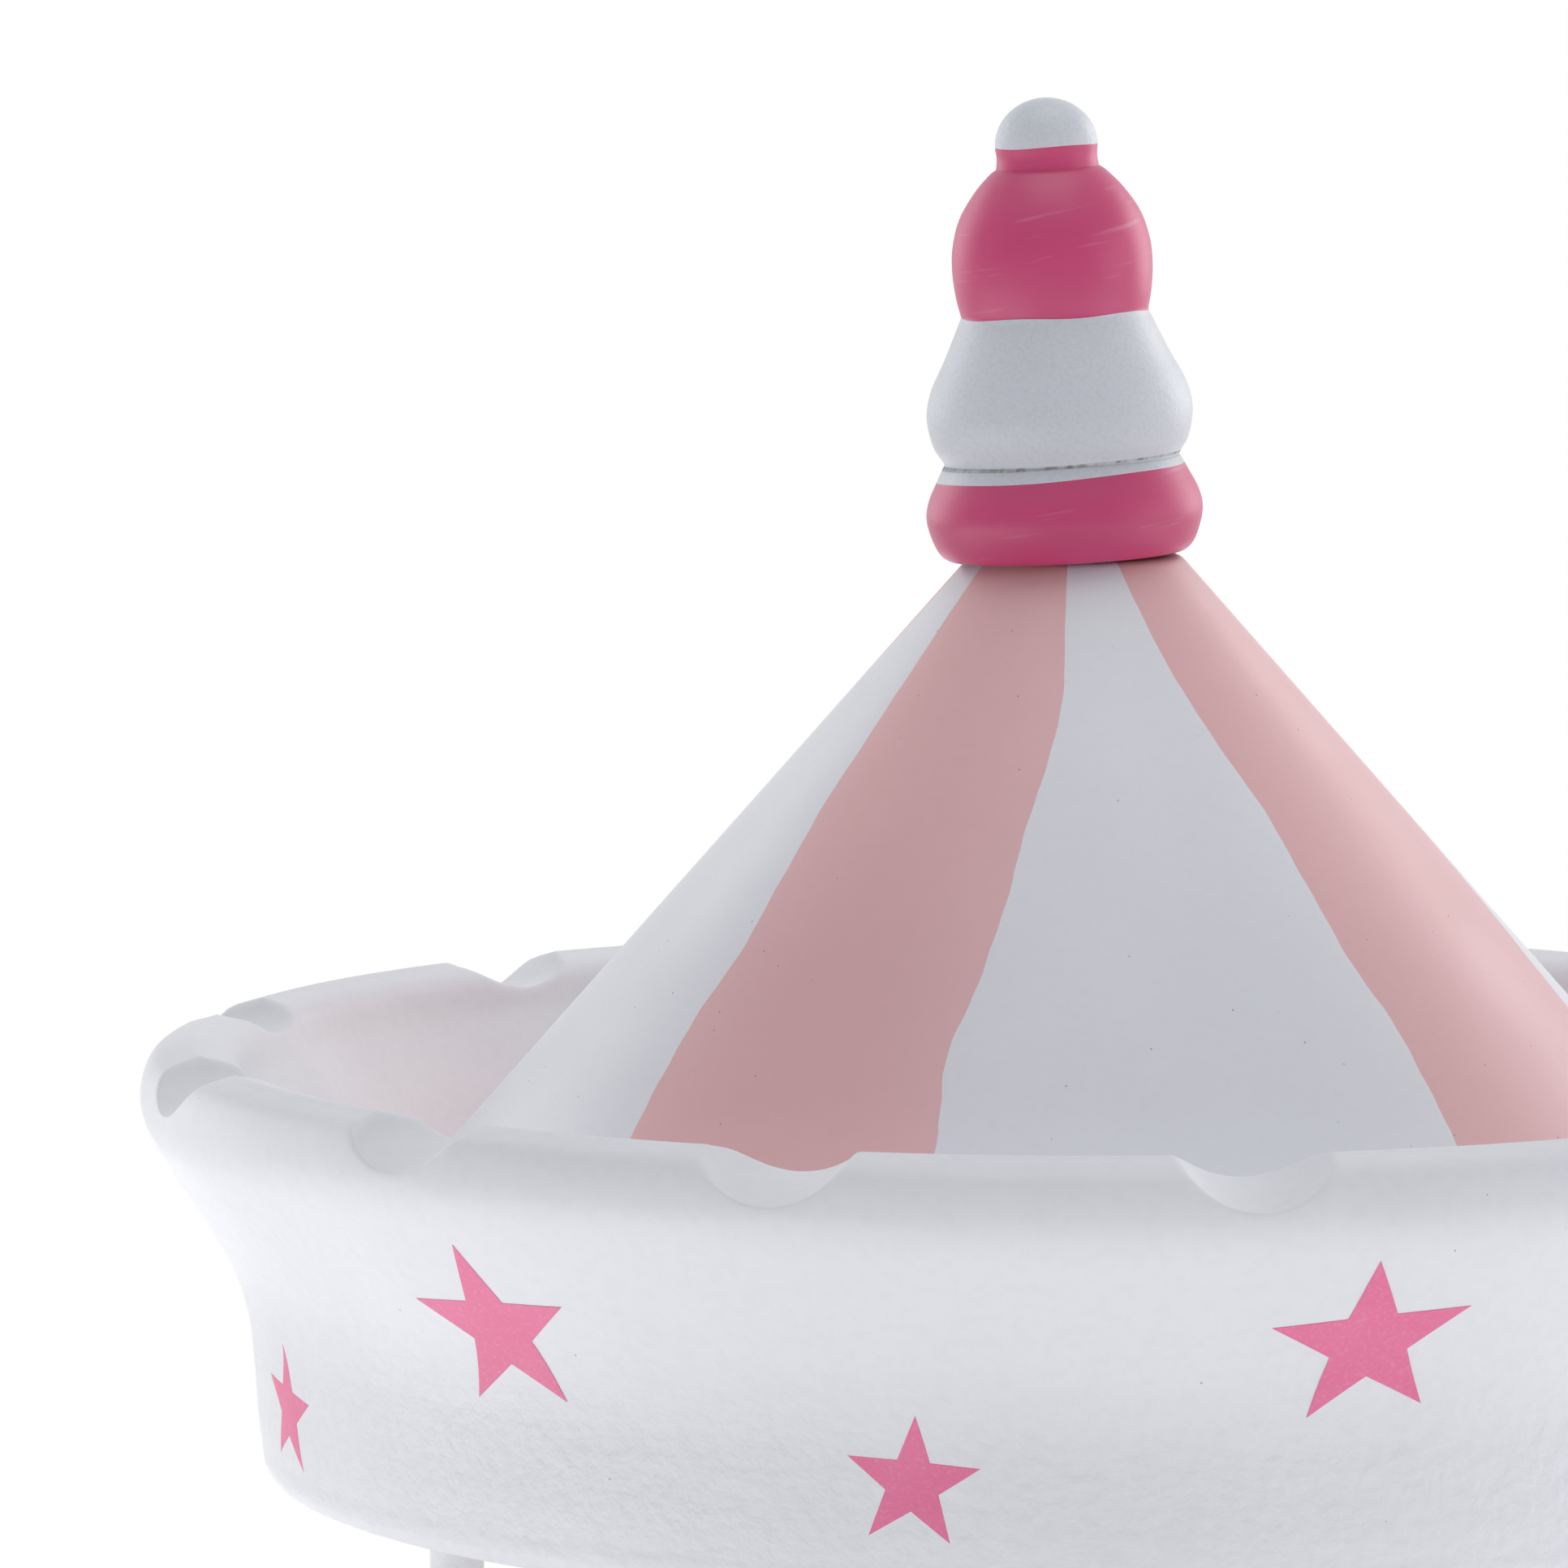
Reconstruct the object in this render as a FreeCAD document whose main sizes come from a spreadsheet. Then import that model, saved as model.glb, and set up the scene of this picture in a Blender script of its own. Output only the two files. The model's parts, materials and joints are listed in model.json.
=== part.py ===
"""Carousel music box: a painted wooden roundabout that turns on a wind-up musical movement.

Sizes are in millimetres. The origin is on the table under the middle of the base, +Z is up and the front
looks towards -Y. Angles round the axis are measured from +X, anticlockwise seen from above.
"""

import FreeCAD, Part
import math
import os

import Sketcher
from FreeCAD import Placement, Rotation, Vector

UP = Vector(0, 0, 1)
ALONG_X = Rotation(Vector(0, 1, 0), 90)  # lays a piece turned about Z along +X
BEVEL_TURN = 45  # degrees between neighbouring bevels of a turned curve
FLANK_TURN = 14  # degrees between the chords of a gear tooth's flank
SAWN_TURN = 16  # degrees between the straight cuts of a finely curved outline
PRESSURE_ANGLE = 20  # degrees, of every tooth here
TOOTH_TIP = 0.95  # modules from a gear's pitch circle to its tips
TOOTH_ROOT = 1.25  # modules from a gear's pitch circle to its roots
TOOTH_SUNK = 0.2  # modules that a tooth's foot reaches into the blank
TOOTH_THINNING = 0.04  # modules taken off each flank, for backlash
FACE_TOOTH_TIP = 0.85  # modules from the pitch plane of the face teeth to their tips
FACE_TOOTH_ROOT = 1.2  # modules from the pitch plane of the face teeth to their roots
WORM_TIP = 0.9  # modules from the worm's pitch cylinder to the crest of its thread
GOLDEN_ANGLE = 180 * (3 - math.sqrt(5))  # degrees

DIMENSIONS = {
    # Base: a turned drum, open below, that stands on rubber feet
    "foot_radius": 3.5,
    "foot_thickness": 1.5,
    "foot_circle_radius": 61.5,
    "foot_count": 4,
    "foot_phase": 45,
    "base_height": 48,
    "base_foot_radius": 67,
    "base_wall_radius": 61,
    "base_bead_radius": 64,
    "base_plinth_height": 7,
    "base_cove_height": 17,
    "base_cove_arc": 11,
    "base_bead_height": 8,
    "base_bead_rise": 4,
    "base_bead_lower_arc": 4.5,
    "base_bead_upper_arc": 4.6,
    "base_edge_round": 2,
    "base_top_thickness": 8,
    "cavity_radius": 52,
    "recess_radius": 57,
    "recess_depth": 14.5,
    "cover_thickness": 4,
    "cover_play": 0.15,
    "cover_arbor_hole": 4.2,
    "cover_screw_circle": 54.5,
    "cover_screw_count": 3,
    "screw_shank_radius": 1.2,
    "screw_head_radius": 2.3,
    "screw_head_height": 1.4,
    "screw_grip": 8,
    "screw_end_gap": 1,
    "movement_screw_grip": 2,
    "left_screw_x": 21.5,
    "front_screw_x": 33.5,
    "front_screw_y": 23,
    "back_screw_x": 29,
    "back_screw_y": 22,
    "hole_play": 0.05,
    # Spindle, its bush and what turns on it
    "spindle_radius": 2,
    "spindle_end_gap": 0.1,
    "bush_radius": 4.5,
    "bush_flange_radius": 7,
    "bush_flange_thickness": 1.2,
    "washer_thickness": 1.4,
    "platform_gap": 1.5,
    "platform_radius": 64,
    "platform_thickness": 9,
    "insert_radius": 4.5,
    "insert_length": 4.5,
    # Column, poles and horses
    "column_radius": 10.5,
    "column_ring_radius": 16,
    "column_ring_height": 4,
    "column_ring_swell": 1,
    "column_ring_arc": 2.5,
    "column_cove_height": 6,
    "spigot_radius": 6,
    "spigot_length": 4,
    "pole_count": 4,
    "pole_radius": 2,
    "pole_circle_radius": 50,
    "pole_phase": 24.6,
    "pole_clear": 64,
    "pole_socket_platform": 5,
    "pole_socket_crown": 10,
    "horse_scale": 1,
    "horse_thickness": 10,
    "horse_lift": 9,
    # Crown: a flared ring with a scooped rim
    "crown_height": 33,
    "crown_wall_radius": 61.2,
    "crown_edge_round": 2.5,
    "crown_waist_radius": 61.75,
    "crown_waist_height": 8.6,
    "crown_flare_radius": 68.1,
    "crown_flare_height": 23.8,
    "crown_rim_radius": 70.3,
    "crown_rim_height": 29.5,
    "crown_crest_radius": 66,
    "crown_lip_radius": 62.2,
    "crown_lip_height": 29.4,
    "crown_floor_radius": 55,
    "crown_trough_depth": 14,
    "crown_cove_arc": 26.9,
    "crown_shoulder_arc": 8.6,
    "crown_rim_arc": 4.1,
    "crown_inner_arc": 40,
    "notch_count": 12,
    "notch_phase": 12.6,
    "notch_radius": 7,
    "notch_slope": 17,
    "notch_depth": 2.9,
    "notch_inner_reach": 16,
    "notch_length": 28,
    # Roof and finial
    "roof_base_radius": 52.1,
    "roof_top_radius": 7.8,
    "roof_height": 50.3,
    "roof_edge_height": 0.6,
    "roof_edge_run": 0.36,
    "roof_edge_arc": 0.96,
    "dowel_radius": 2.5,
    "dowel_depth": 9,
    "dowel_end_gap": 0.6,
    "roof_hole_radius": 3.4,
    "finial_lean": 2.5,
    "finial_shift": 0.7,
    "finial_foot_radius": 10.3,
    "finial_foot_height": 2.8,
    "finial_foot_inset": 1.4,
    "finial_foot_arc": 2.4,
    "finial_slope_radius": 9.3,
    "finial_slope_height": 6.4,
    "finial_groove_radius": 8.8,
    "finial_groove_height": 7,
    "finial_belly_radius": 9.4,
    "finial_belly_height": 13.1,
    "finial_belly_arc": 5,
    "finial_waist_radius": 6.95,
    "finial_waist_height": 18.2,
    "finial_egg_radius": 7.4,
    "finial_egg_height": 23.2,
    "finial_egg_lower_arc": 8,
    "finial_egg_upper_arc": 7.2,
    "finial_neck_radius": 3.8,
    "finial_neck_start": 29.3,
    "finial_neck_end": 31.2,
    "finial_cap_arc": 3.7,
    "finial_cap_flat": 0.6,
    "finial_height": 34.9,
    # Movement: bedplate, spring barrel, winding arbor and key
    "bedplate_thickness": 2.5,
    "bedplate_left": 26,
    "bedplate_right": 47.5,
    "bedplate_front": 27,
    "bedplate_back": 25.5,
    "bedplate_corner": 12,
    "barrel_gap": 0.5,
    "barrel_radius": 15.5,
    "barrel_wall": 1.2,
    "barrel_height": 9,
    "barrel_flange_radius": 22.2,
    "barrel_flange_thickness": 1.4,
    "lid_thickness": 1.2,
    "lid_hub_radius": 3.5,
    "lid_hub_height": 3,
    "face_teeth": 50,
    "face_inner_radius": 19,
    "face_outer_radius": 21,
    "face_tooth_width": 0.78,
    "face_tooth_sunk": 0.3,
    "arbor_radius": 2.5,
    "arbor_hub_radius": 4,
    "arbor_hub_play": 0.2,
    "arbor_hub_gap": 0.5,
    "arbor_lift": 4.5,
    "arbor_collar_radius": 3.6,
    "arbor_collar_lift": 1.5,
    "arbor_collar_play": 0.1,
    "key_wing_radius": 6,
    "key_wing_spread": 9.2,
    "key_eye_radius": 3.2,
    "key_bridge_half_height": 2.6,
    "key_thickness": 2,
    "key_hub_radius": 4.2,
    "key_hub_height": 9,
    "key_height": 8.6,
    "spring_start_radius": 5.2,
    "spring_half_step": 1.4,
    "spring_half_turns": 6,
    "spring_thickness": 0.4,
    "spring_width": 7,
    # Cylinder, comb and governor train
    "drive_module": 0.8,
    "drive_teeth": 14,
    "drive_width": 1.8,
    "train_module": 0.5,
    "cylinder_teeth": 36,
    "pinion_teeth": 12,
    "wheel_teeth": 16,
    "train_width": 1.6,
    "pinion_overlap": 0.2,
    "wheel_width": 1.2,
    "mesh_play": 0.1,
    "gear_gap": 0.5,
    "gear_slot_half_length": 7,
    "gear_slot_play": 0.4,
    "cylinder_start": 24.7,
    "cylinder_length": 17.8,
    "cylinder_radius": 6.5,
    "cylinder_arbor_radius": 1,
    "cylinder_arbor_inner_reach": 0.4,
    "cylinder_arbor_outer_reach": 0.5,
    "pin_width": 0.4,
    "pin_height": 0.6,
    "pin_sunk": 0.4,
    "pin_stagger": 17,
    "pin_stagger_notes": 4,
    "notes": 18,
    "note_pitch": 0.9,
    "pins_per_note": 2,
    "comb_thickness": 1,
    "comb_clearance": 0.2,
    "comb_tooth_length": 11,
    "comb_back_width": 7,
    "comb_slot": 0.2,
    "comb_screw_spread": 6,
    "comb_screw_grip": 5,
    "bearing_thickness": 1.4,
    "inner_bearing_start": 22.7,
    "outer_bearing_start": 45.2,
    "bearing_half_width": 4.5,
    "bearing_rise": 4,
    "bearing_corner": 3,
    "end_bearing_reach": 3,
    "wheel_place": 36,
    "worm_radius": 1.6,
    "worm_turns": 2,
    "worm_phase": 90,
    "worm_length": 6,
    "worm_shoulder": 1,
    "worm_root_radius": 1,
    "worm_shaft_radius": 0.8,
    "worm_shaft_play": 0.2,
    "worm_thread_width": 0.52,
    "worm_thread_sunk": 0.15,
    "fan_radius": 5,
    "fan_corner": 0.8,
    "fan_gap": 0.4,
    "fan_clearance": 0.6,
    "fan_blade_thickness": 0.7,
    "fan_height": 3,
    "fan_hub_radius": 1.8,
    "bracket_thickness": 1.2,
    "bracket_height": 18.4,
    "bracket_half_length": 4,
    "bracket_arm_reach": 2,
    "bracket_ear_radius": 2.6,
}


class Size:
    """A number together with the spreadsheet expression that gives it."""

    def __init__(self, value, text):
        self.value = float(value)
        self.text = text

    def __add__(self, other):
        other = size(other)
        return Size(self.value + other.value, f"({self.text} + {other.text})")

    def __sub__(self, other):
        other = size(other)
        return Size(self.value - other.value, f"({self.text} - {other.text})")

    def __mul__(self, other):
        other = size(other)
        return Size(self.value * other.value, f"({self.text} * {other.text})")

    def __truediv__(self, other):
        other = size(other)
        return Size(self.value / other.value, f"({self.text} / {other.text})")

    def __radd__(self, other):
        return size(other) + self

    def __rsub__(self, other):
        return size(other) - self

    def __rmul__(self, other):
        return size(other) * self

    def __rtruediv__(self, other):
        return size(other) / self

    def __neg__(self):
        return Size(-self.value, f"(0 - {self.text})")


def size(number):
    """A plain number as a Size; a Size stays as it is."""
    if isinstance(number, Size):
        return number
    return Size(number, f"({float(number)!r})")


def cosine(degrees):
    return Size(math.cos(math.radians(degrees.value)), f"cos({degrees.text})")


def sine(degrees):
    return Size(math.sin(math.radians(degrees.value)), f"sin({degrees.text})")


def tangent(degrees):
    return Size(math.tan(math.radians(degrees.value)), f"tan({degrees.text})")


class SheetReader:
    """Gives each cell of the sheet, by its alias, as a Size."""

    def __getattr__(self, alias):
        return Size(DIMENSIONS[alias], "dims." + alias)


doc = FreeCAD.newDocument("carousel_music_box")
sheet = doc.addObject("Spreadsheet::Sheet", "dims")
for row, (alias, number) in enumerate(DIMENSIONS.items(), start=1):
    sheet.set(f"A{row}", alias)
    sheet.set(f"B{row}", str(number))
    sheet.setAlias(f"B{row}", alias)
doc.recompute()
dim = SheetReader()
pieces = []


# Heights above the table and the places of the movement's axes
base_bottom = dim.foot_thickness
base_top = base_bottom + dim.base_height
cover_bottom = base_bottom + dim.recess_depth
plate_bottom = cover_bottom + dim.cover_thickness
plate_top = plate_bottom + dim.bedplate_thickness
barrel_bottom = plate_top + dim.barrel_gap
barrel_top = barrel_bottom + dim.barrel_height
face_pitch_height = dim.barrel_flange_thickness + dim.drive_module * FACE_TOOTH_ROOT
drive_pitch_radius = dim.drive_module * dim.drive_teeth / 2
cylinder_axis = barrel_bottom + face_pitch_height + drive_pitch_radius + dim.mesh_play
platform_bottom = base_top + dim.platform_gap
platform_top = platform_bottom + dim.platform_thickness
crown_bottom = platform_top + dim.pole_clear
crown_floor = dim.crown_height - dim.crown_trough_depth
roof_bottom = crown_bottom + crown_floor
roof_top = roof_bottom + dim.roof_height
wheel_axis_y = dim.train_module * (dim.cylinder_teeth + dim.pinion_teeth) / 2 + dim.mesh_play
worm_axis_y = wheel_axis_y + dim.train_module * dim.wheel_teeth / 2 + dim.worm_radius + dim.mesh_play
gear_start = dim.cylinder_start + dim.cylinder_length + dim.gear_gap
comb_bottom = cylinder_axis - plate_top - dim.comb_thickness / 2
comb_tip = -(dim.cylinder_radius + dim.pin_height + dim.comb_clearance)
comb_root = comb_tip - dim.comb_tooth_length
comb_back = comb_root - dim.comb_back_width
comb_middle = dim.cylinder_start + dim.cylinder_length / 2
comb_screw_places = [
    (comb_middle + dim.comb_screw_spread * way, comb_root - dim.comb_back_width / 2) for way in (-1, 1)
]
movement_screw_places = [
    (-dim.left_screw_x, 0),
    (dim.front_screw_x, -dim.front_screw_y),
    (dim.back_screw_x, dim.back_screw_y),
]


# Drawing helpers
def bind(thing, **sizes):
    """Sets properties of an object from sizes and ties them to the sheet."""
    for name, amount in sizes.items():
        thing.setExpression(name, size(amount).text)


def place(thing, x=0, y=0, z=0, turn=None, axis=UP):
    """Puts a piece at a place, optionally turned about an axis, tied to the sheet."""
    rotation = Rotation(axis, size(turn).value) if turn is not None else thing.Placement.Rotation
    thing.Placement = Placement(Vector(size(x).value, size(y).value, size(z).value), rotation)
    for letter, amount in (("x", x), ("y", y), ("z", z)):
        if isinstance(amount, Size):
            thing.setExpression("Placement.Base." + letter, amount.text)
    if isinstance(turn, Size):
        thing.setExpression("Placement.Rotation.Angle", turn.text)


def new_body(label, laid_along_x=False):
    body = doc.addObject("PartDesign::Body", label)
    body.Label = label
    body.AllowCompound = True
    if laid_along_x:
        body.Placement = Placement(Vector(), ALONG_X)
    pieces.append(body)
    return body


def sketch_on(body, plane, lift=None):
    """A sketch on one of the body's own planes, lifted along the plane's normal."""
    sketch = body.newObject("Sketcher::SketchObject", body.Label + "_sketch")
    support = [f for f in body.Origin.OriginFeatures if f.Role == plane + "_Plane"][0]
    sketch.AttachmentSupport = [(support, "")]
    sketch.MapMode = "FlatFace"
    if lift is not None:
        sketch.AttachmentOffset = Placement(Vector(0, 0, size(lift).value), Rotation())
        sketch.setExpression("AttachmentOffset.Base.z", size(lift).text)
    return sketch


def pin_point(sketch, edge, end, x, y):
    """Holds one end of an edge, or the middle of a circle, at x, y."""
    for kind, amount, across in (("DistanceX", x, -2), ("DistanceY", y, -1)):
        amount = size(amount)
        if abs(amount.value) < 1e-9:
            sketch.addConstraint(Sketcher.Constraint("PointOnObject", edge, end, across))
        else:
            index = sketch.addConstraint(Sketcher.Constraint(kind, -1, 1, edge, end, amount.value))
            sketch.setExpression(f"Constraints[{index}]", amount.text)


def hold_radius(sketch, edge, radius):
    index = sketch.addConstraint(Sketcher.Constraint("Radius", edge, radius.value))
    sketch.setExpression(f"Constraints[{index}]", radius.text)


def circle(sketch, x, y, radius):
    middle = Vector(size(x).value, size(y).value, 0)
    edge = sketch.addGeometry(Part.Circle(middle, Vector(0, 0, 1), size(radius).value), False)
    pin_point(sketch, edge, 3, x, y)
    hold_radius(sketch, edge, size(radius))


def draw(sketch, corners):
    """Draws a closed outline, anticlockwise.

    A corner (x, y) ends a straight edge. A corner (x, y, r) ends an arc of radius r, which swells outwards
    for a positive r and inwards for a negative one.
    """
    points = [Vector(size(c[0]).value, size(c[1]).value, 0) for c in corners]
    ends = []
    for index, corner in enumerate(corners):
        start, stop = points[index - 1], points[index]
        if len(corner) == 2:
            edge = sketch.addGeometry(Part.LineSegment(start, stop), False)
            ends.append((edge, 1, 2))
            continue
        radius = size(corner[2])
        chord = stop - start
        rise = math.sqrt(radius.value**2 - (chord.Length / 2) ** 2)
        left = Vector(-chord.y, chord.x, 0).normalize()
        middle = (start + stop) * 0.5 + left * math.copysign(rise, radius.value)
        first, last = (start, stop) if radius.value > 0 else (stop, start)
        angles = [math.atan2(p.y - middle.y, p.x - middle.x) for p in (first, last)]
        round_edge = Part.Circle(middle, Vector(0, 0, 1), abs(radius.value))
        edge = sketch.addGeometry(Part.ArcOfCircle(round_edge, *angles), False)
        ends.append((edge, 1, 2) if radius.value > 0 else (edge, 2, 1))
        hold_radius(sketch, edge, radius if radius.value > 0 else -radius)
    for index, corner in enumerate(corners):
        edge, _, stop_end = ends[index]
        following, start_end, _ = ends[(index + 1) % len(ends)]
        sketch.addConstraint(Sketcher.Constraint("Coincident", edge, stop_end, following, start_end))
        pin_point(sketch, edge, stop_end, corner[0], corner[1])


def chords(corners, turn):
    """The same outline with each arc as straight chords, which turn by about that many degrees each."""
    result = []
    for index, corner in enumerate(corners):
        if len(corner) == 3:
            start_x, start_y = (size(amount) for amount in corners[index - 1][:2])
            run, rise, radius = size(corner[0]) - start_x, size(corner[1]) - start_y, size(corner[2]).value
            length = math.hypot(run.value, rise.value)
            half = math.asin(length / 2 / abs(radius))
            count = max(1, round(math.degrees(2 * half) / turn))
            for step in range(1, count):
                angle = half * (1 - 2 * step / count)
                along = (1 - math.sin(angle) / math.sin(half)) / 2
                swell = radius * (math.cos(angle) - math.cos(half)) / length
                result.append((start_x + run * along + rise * swell, start_y + rise * along - run * swell))
        result.append(corner[:2])
    return result


def revolve(body, corners, turn=BEVEL_TURN):
    """Turns an outline of (radius, height) corners about the body's Z axis, its arcs as plain bevels."""
    sketch = sketch_on(body, "XZ")
    draw(sketch, chords(corners, turn))
    turned = body.newObject("PartDesign::Revolution", body.Label + "_turning")
    turned.Profile = sketch
    turned.ReferenceAxis = (sketch, ["V_Axis"])
    turned.Angle = 360
    doc.recompute()
    return turned


def pad(body, sketch, length, symmetric=False):
    solid = body.newObject("PartDesign::Pad", body.Label + "_pad")
    solid.Profile = sketch
    solid.SideType = "Symmetric" if symmetric else "One side"
    bind(solid, Length=length)
    doc.recompute()
    return solid


def pocket(body, sketch, length, upwards):
    """Cuts a sketch into the body, along the sketch's normal if upwards, and proves that it cut."""
    before = body.Shape.Volume
    cut = body.newObject("PartDesign::Pocket", body.Label + "_pocket")
    cut.Profile = sketch
    cut.Reversed = upwards
    bind(cut, Length=length)
    doc.recompute()
    if body.Shape.Volume > before - 1e-6:
        raise RuntimeError(f"{body.Label}: a pocket cut nothing")
    return cut


def repeat_round(body, feature, count):
    """Repeats a feature evenly round the body's Z axis."""
    pattern = body.newObject("PartDesign::PolarPattern", body.Label + "_pattern")
    pattern.Originals = [feature]
    axis = [f for f in body.Origin.OriginFeatures if f.Role == "Z_Axis"][0]
    pattern.Axis = (axis, [""])
    pattern.Angle = 360
    bind(pattern, Occurrences=count)
    body.Tip = pattern
    doc.recompute()
    return pattern


def box_outline(left, bottom, right, top):
    return [(left, bottom), (right, bottom), (right, top), (left, top)]


def rod(label, radius, length, x=0, y=0, z=0, turn=None, axis=UP):
    """A plain round rod that starts at a place and rises along its own Z axis."""
    bar = doc.addObject("Part::Cylinder", label)
    bar.Label = label
    bind(bar, Radius=radius, Height=length)
    place(bar, x, y, z, turn, axis)
    pieces.append(bar)
    return bar


def screws(label, places, seat, grip, pointing_up):
    """Round-headed screws as one group: each head sits against the seat and its shank enters the work."""
    members = []
    for x, y in places:
        head = doc.addObject("Part::Cylinder", label + "_head")
        shank = doc.addObject("Part::Cylinder", label + "_shank")
        bind(head, Radius=dim.screw_head_radius, Height=dim.screw_head_height)
        bind(shank, Radius=dim.screw_shank_radius, Height=grip)
        place(head, x, y, seat - dim.screw_head_height if pointing_up else seat)
        place(shank, x, y, seat if pointing_up else seat - grip)
        screw = doc.addObject("Part::Fuse", label + "_screw")
        screw.Base = head
        screw.Tool = shank
        members.append(screw)
    group = doc.addObject("Part::Compound", label)
    group.Label = label
    group.Links = members
    pieces.append(group)


def round_gear(body, teeth, module, width, half_turned=False):
    """A spur gear about the body's Z axis. Its involute flanks are near arcs, which are drawn as chords.

    A tooth points along +X, or a gap if half_turned. Radii are in modules until a point is made.
    """
    count = int(teeth.value)
    pressure = math.radians(PRESSURE_ANGLE)
    pitch = count / 2
    tip, root = pitch + TOOTH_TIP, pitch - TOOTH_ROOT
    base = pitch * math.cos(pressure)
    tip_pressure = math.acos(base / tip)
    at_pitch = math.pi / (2 * count) - TOOTH_THINNING / pitch
    at_base = at_pitch + math.tan(pressure) - pressure
    at_tip = at_base - math.tan(tip_pressure) + tip_pressure
    sunk = root - TOOTH_SUNK
    middle = math.pi / count if half_turned else 0
    flank = module * (pitch * math.sin(pressure))

    def point(radius, angle):
        return module * (radius * math.cos(middle + angle)), module * (radius * math.sin(middle + angle))

    blank = sketch_on(body, "XY")
    circle(blank, 0, 0, module * root)
    pad(body, blank, width)
    foot = max(base, root)
    corners = [
        point(sunk, -at_base),
        point(foot, -at_base),
        (*point(tip, -at_tip), flank),
        point(tip, at_tip),
        (*point(foot, at_base), flank),
        point(sunk, at_base),
    ]
    tooth_sketch = sketch_on(body, "XY")
    draw(tooth_sketch, chords(corners, FLANK_TURN))
    tooth = pad(body, tooth_sketch, width)
    repeat_round(body, tooth, teeth)


def bore(body, radius, depth, x=0, y=0, lift=None):
    """A round hole along the body's +Z, from the plane at lift."""
    sketch = sketch_on(body, "XY", lift)
    circle(sketch, x, y, radius)
    return pocket(body, sketch, depth, upwards=True)


# The base
def make_feet():
    body = new_body("feet")
    sketch = sketch_on(body, "XY")
    circle(sketch, dim.foot_circle_radius, 0, dim.foot_radius)
    repeat_round(body, pad(body, sketch, dim.foot_thickness), dim.foot_count)
    place(body, turn=dim.foot_phase)


def make_base_drum():
    body = new_body("base_drum")
    bead_start = dim.base_height - dim.base_bead_height
    hole = dim.bush_radius + dim.hole_play
    flange = dim.bush_flange_radius + dim.hole_play
    flange_seat = dim.base_height - dim.bush_flange_thickness
    ceiling = dim.base_height - dim.base_top_thickness
    ledge = dim.recess_depth + dim.cover_thickness
    edge = dim.base_edge_round
    revolve(body, [
        (dim.recess_radius, 0),
        (dim.base_foot_radius - edge, 0),
        (dim.base_foot_radius, edge, edge),
        (dim.base_foot_radius, dim.base_plinth_height - edge),
        (dim.base_foot_radius - edge, dim.base_plinth_height, edge),
        (dim.base_wall_radius, dim.base_cove_height, -dim.base_cove_arc),
        (dim.base_wall_radius, bead_start),
        (dim.base_bead_radius, bead_start + dim.base_bead_rise, dim.base_bead_lower_arc),
        (dim.base_bead_radius - edge, dim.base_height, dim.base_bead_upper_arc),
        (flange, dim.base_height),
        (flange, flange_seat),
        (hole, flange_seat),
        (hole, ceiling),
        (dim.cavity_radius, ceiling),
        (dim.cavity_radius, ledge),
        (dim.recess_radius, ledge),
    ])
    shank = dim.screw_shank_radius + dim.hole_play
    screw_hole = bore(body, shank, dim.screw_grip, dim.cover_screw_circle, 0, ledge)
    repeat_round(body, screw_hole, dim.cover_screw_count)
    place(body, z=base_bottom)


def make_bottom_cover():
    body = new_body("bottom_cover")
    disc = sketch_on(body, "XY")
    circle(disc, 0, 0, dim.recess_radius - dim.cover_play)
    circle(disc, 0, 0, dim.cover_arbor_hole)
    pad(body, disc, dim.cover_thickness)
    hole = dim.screw_shank_radius + dim.hole_play
    rim_hole = bore(body, hole, dim.cover_thickness, dim.cover_screw_circle)
    repeat_round(body, rim_hole, dim.cover_screw_count)
    for x, y in movement_screw_places:
        bore(body, hole, dim.cover_thickness, x, y)
    place(body, z=cover_bottom)
    angles = [size(turn) * 360 / dim.cover_screw_count for turn in range(DIMENSIONS["cover_screw_count"])]
    ring = [(dim.cover_screw_circle * cosine(a), dim.cover_screw_circle * sine(a)) for a in angles]
    rim_grip = dim.cover_thickness + dim.screw_grip - dim.screw_end_gap
    screws("cover_screws", ring, cover_bottom, rim_grip, True)
    plate_grip = dim.cover_thickness + dim.movement_screw_grip
    screws("movement_screws", movement_screw_places, cover_bottom, plate_grip, True)


def make_spindle_bush():
    body = new_body("spindle_bush")
    bore_radius = dim.spindle_radius + dim.hole_play
    shoulder = dim.base_top_thickness - dim.bush_flange_thickness
    revolve(body, [
        (bore_radius, 0),
        (dim.bush_radius, 0),
        (dim.bush_radius, shoulder),
        (dim.bush_flange_radius, shoulder),
        (dim.bush_flange_radius, dim.base_top_thickness),
        (bore_radius, dim.base_top_thickness),
    ])
    place(body, z=base_top - dim.base_top_thickness)


def make_thrust_washer():
    body = new_body("thrust_washer")
    ring = sketch_on(body, "XY")
    circle(ring, 0, 0, dim.bush_flange_radius)
    circle(ring, 0, 0, dim.spindle_radius + dim.hole_play * 2)
    pad(body, ring, dim.washer_thickness)
    place(body, z=base_top)


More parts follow.
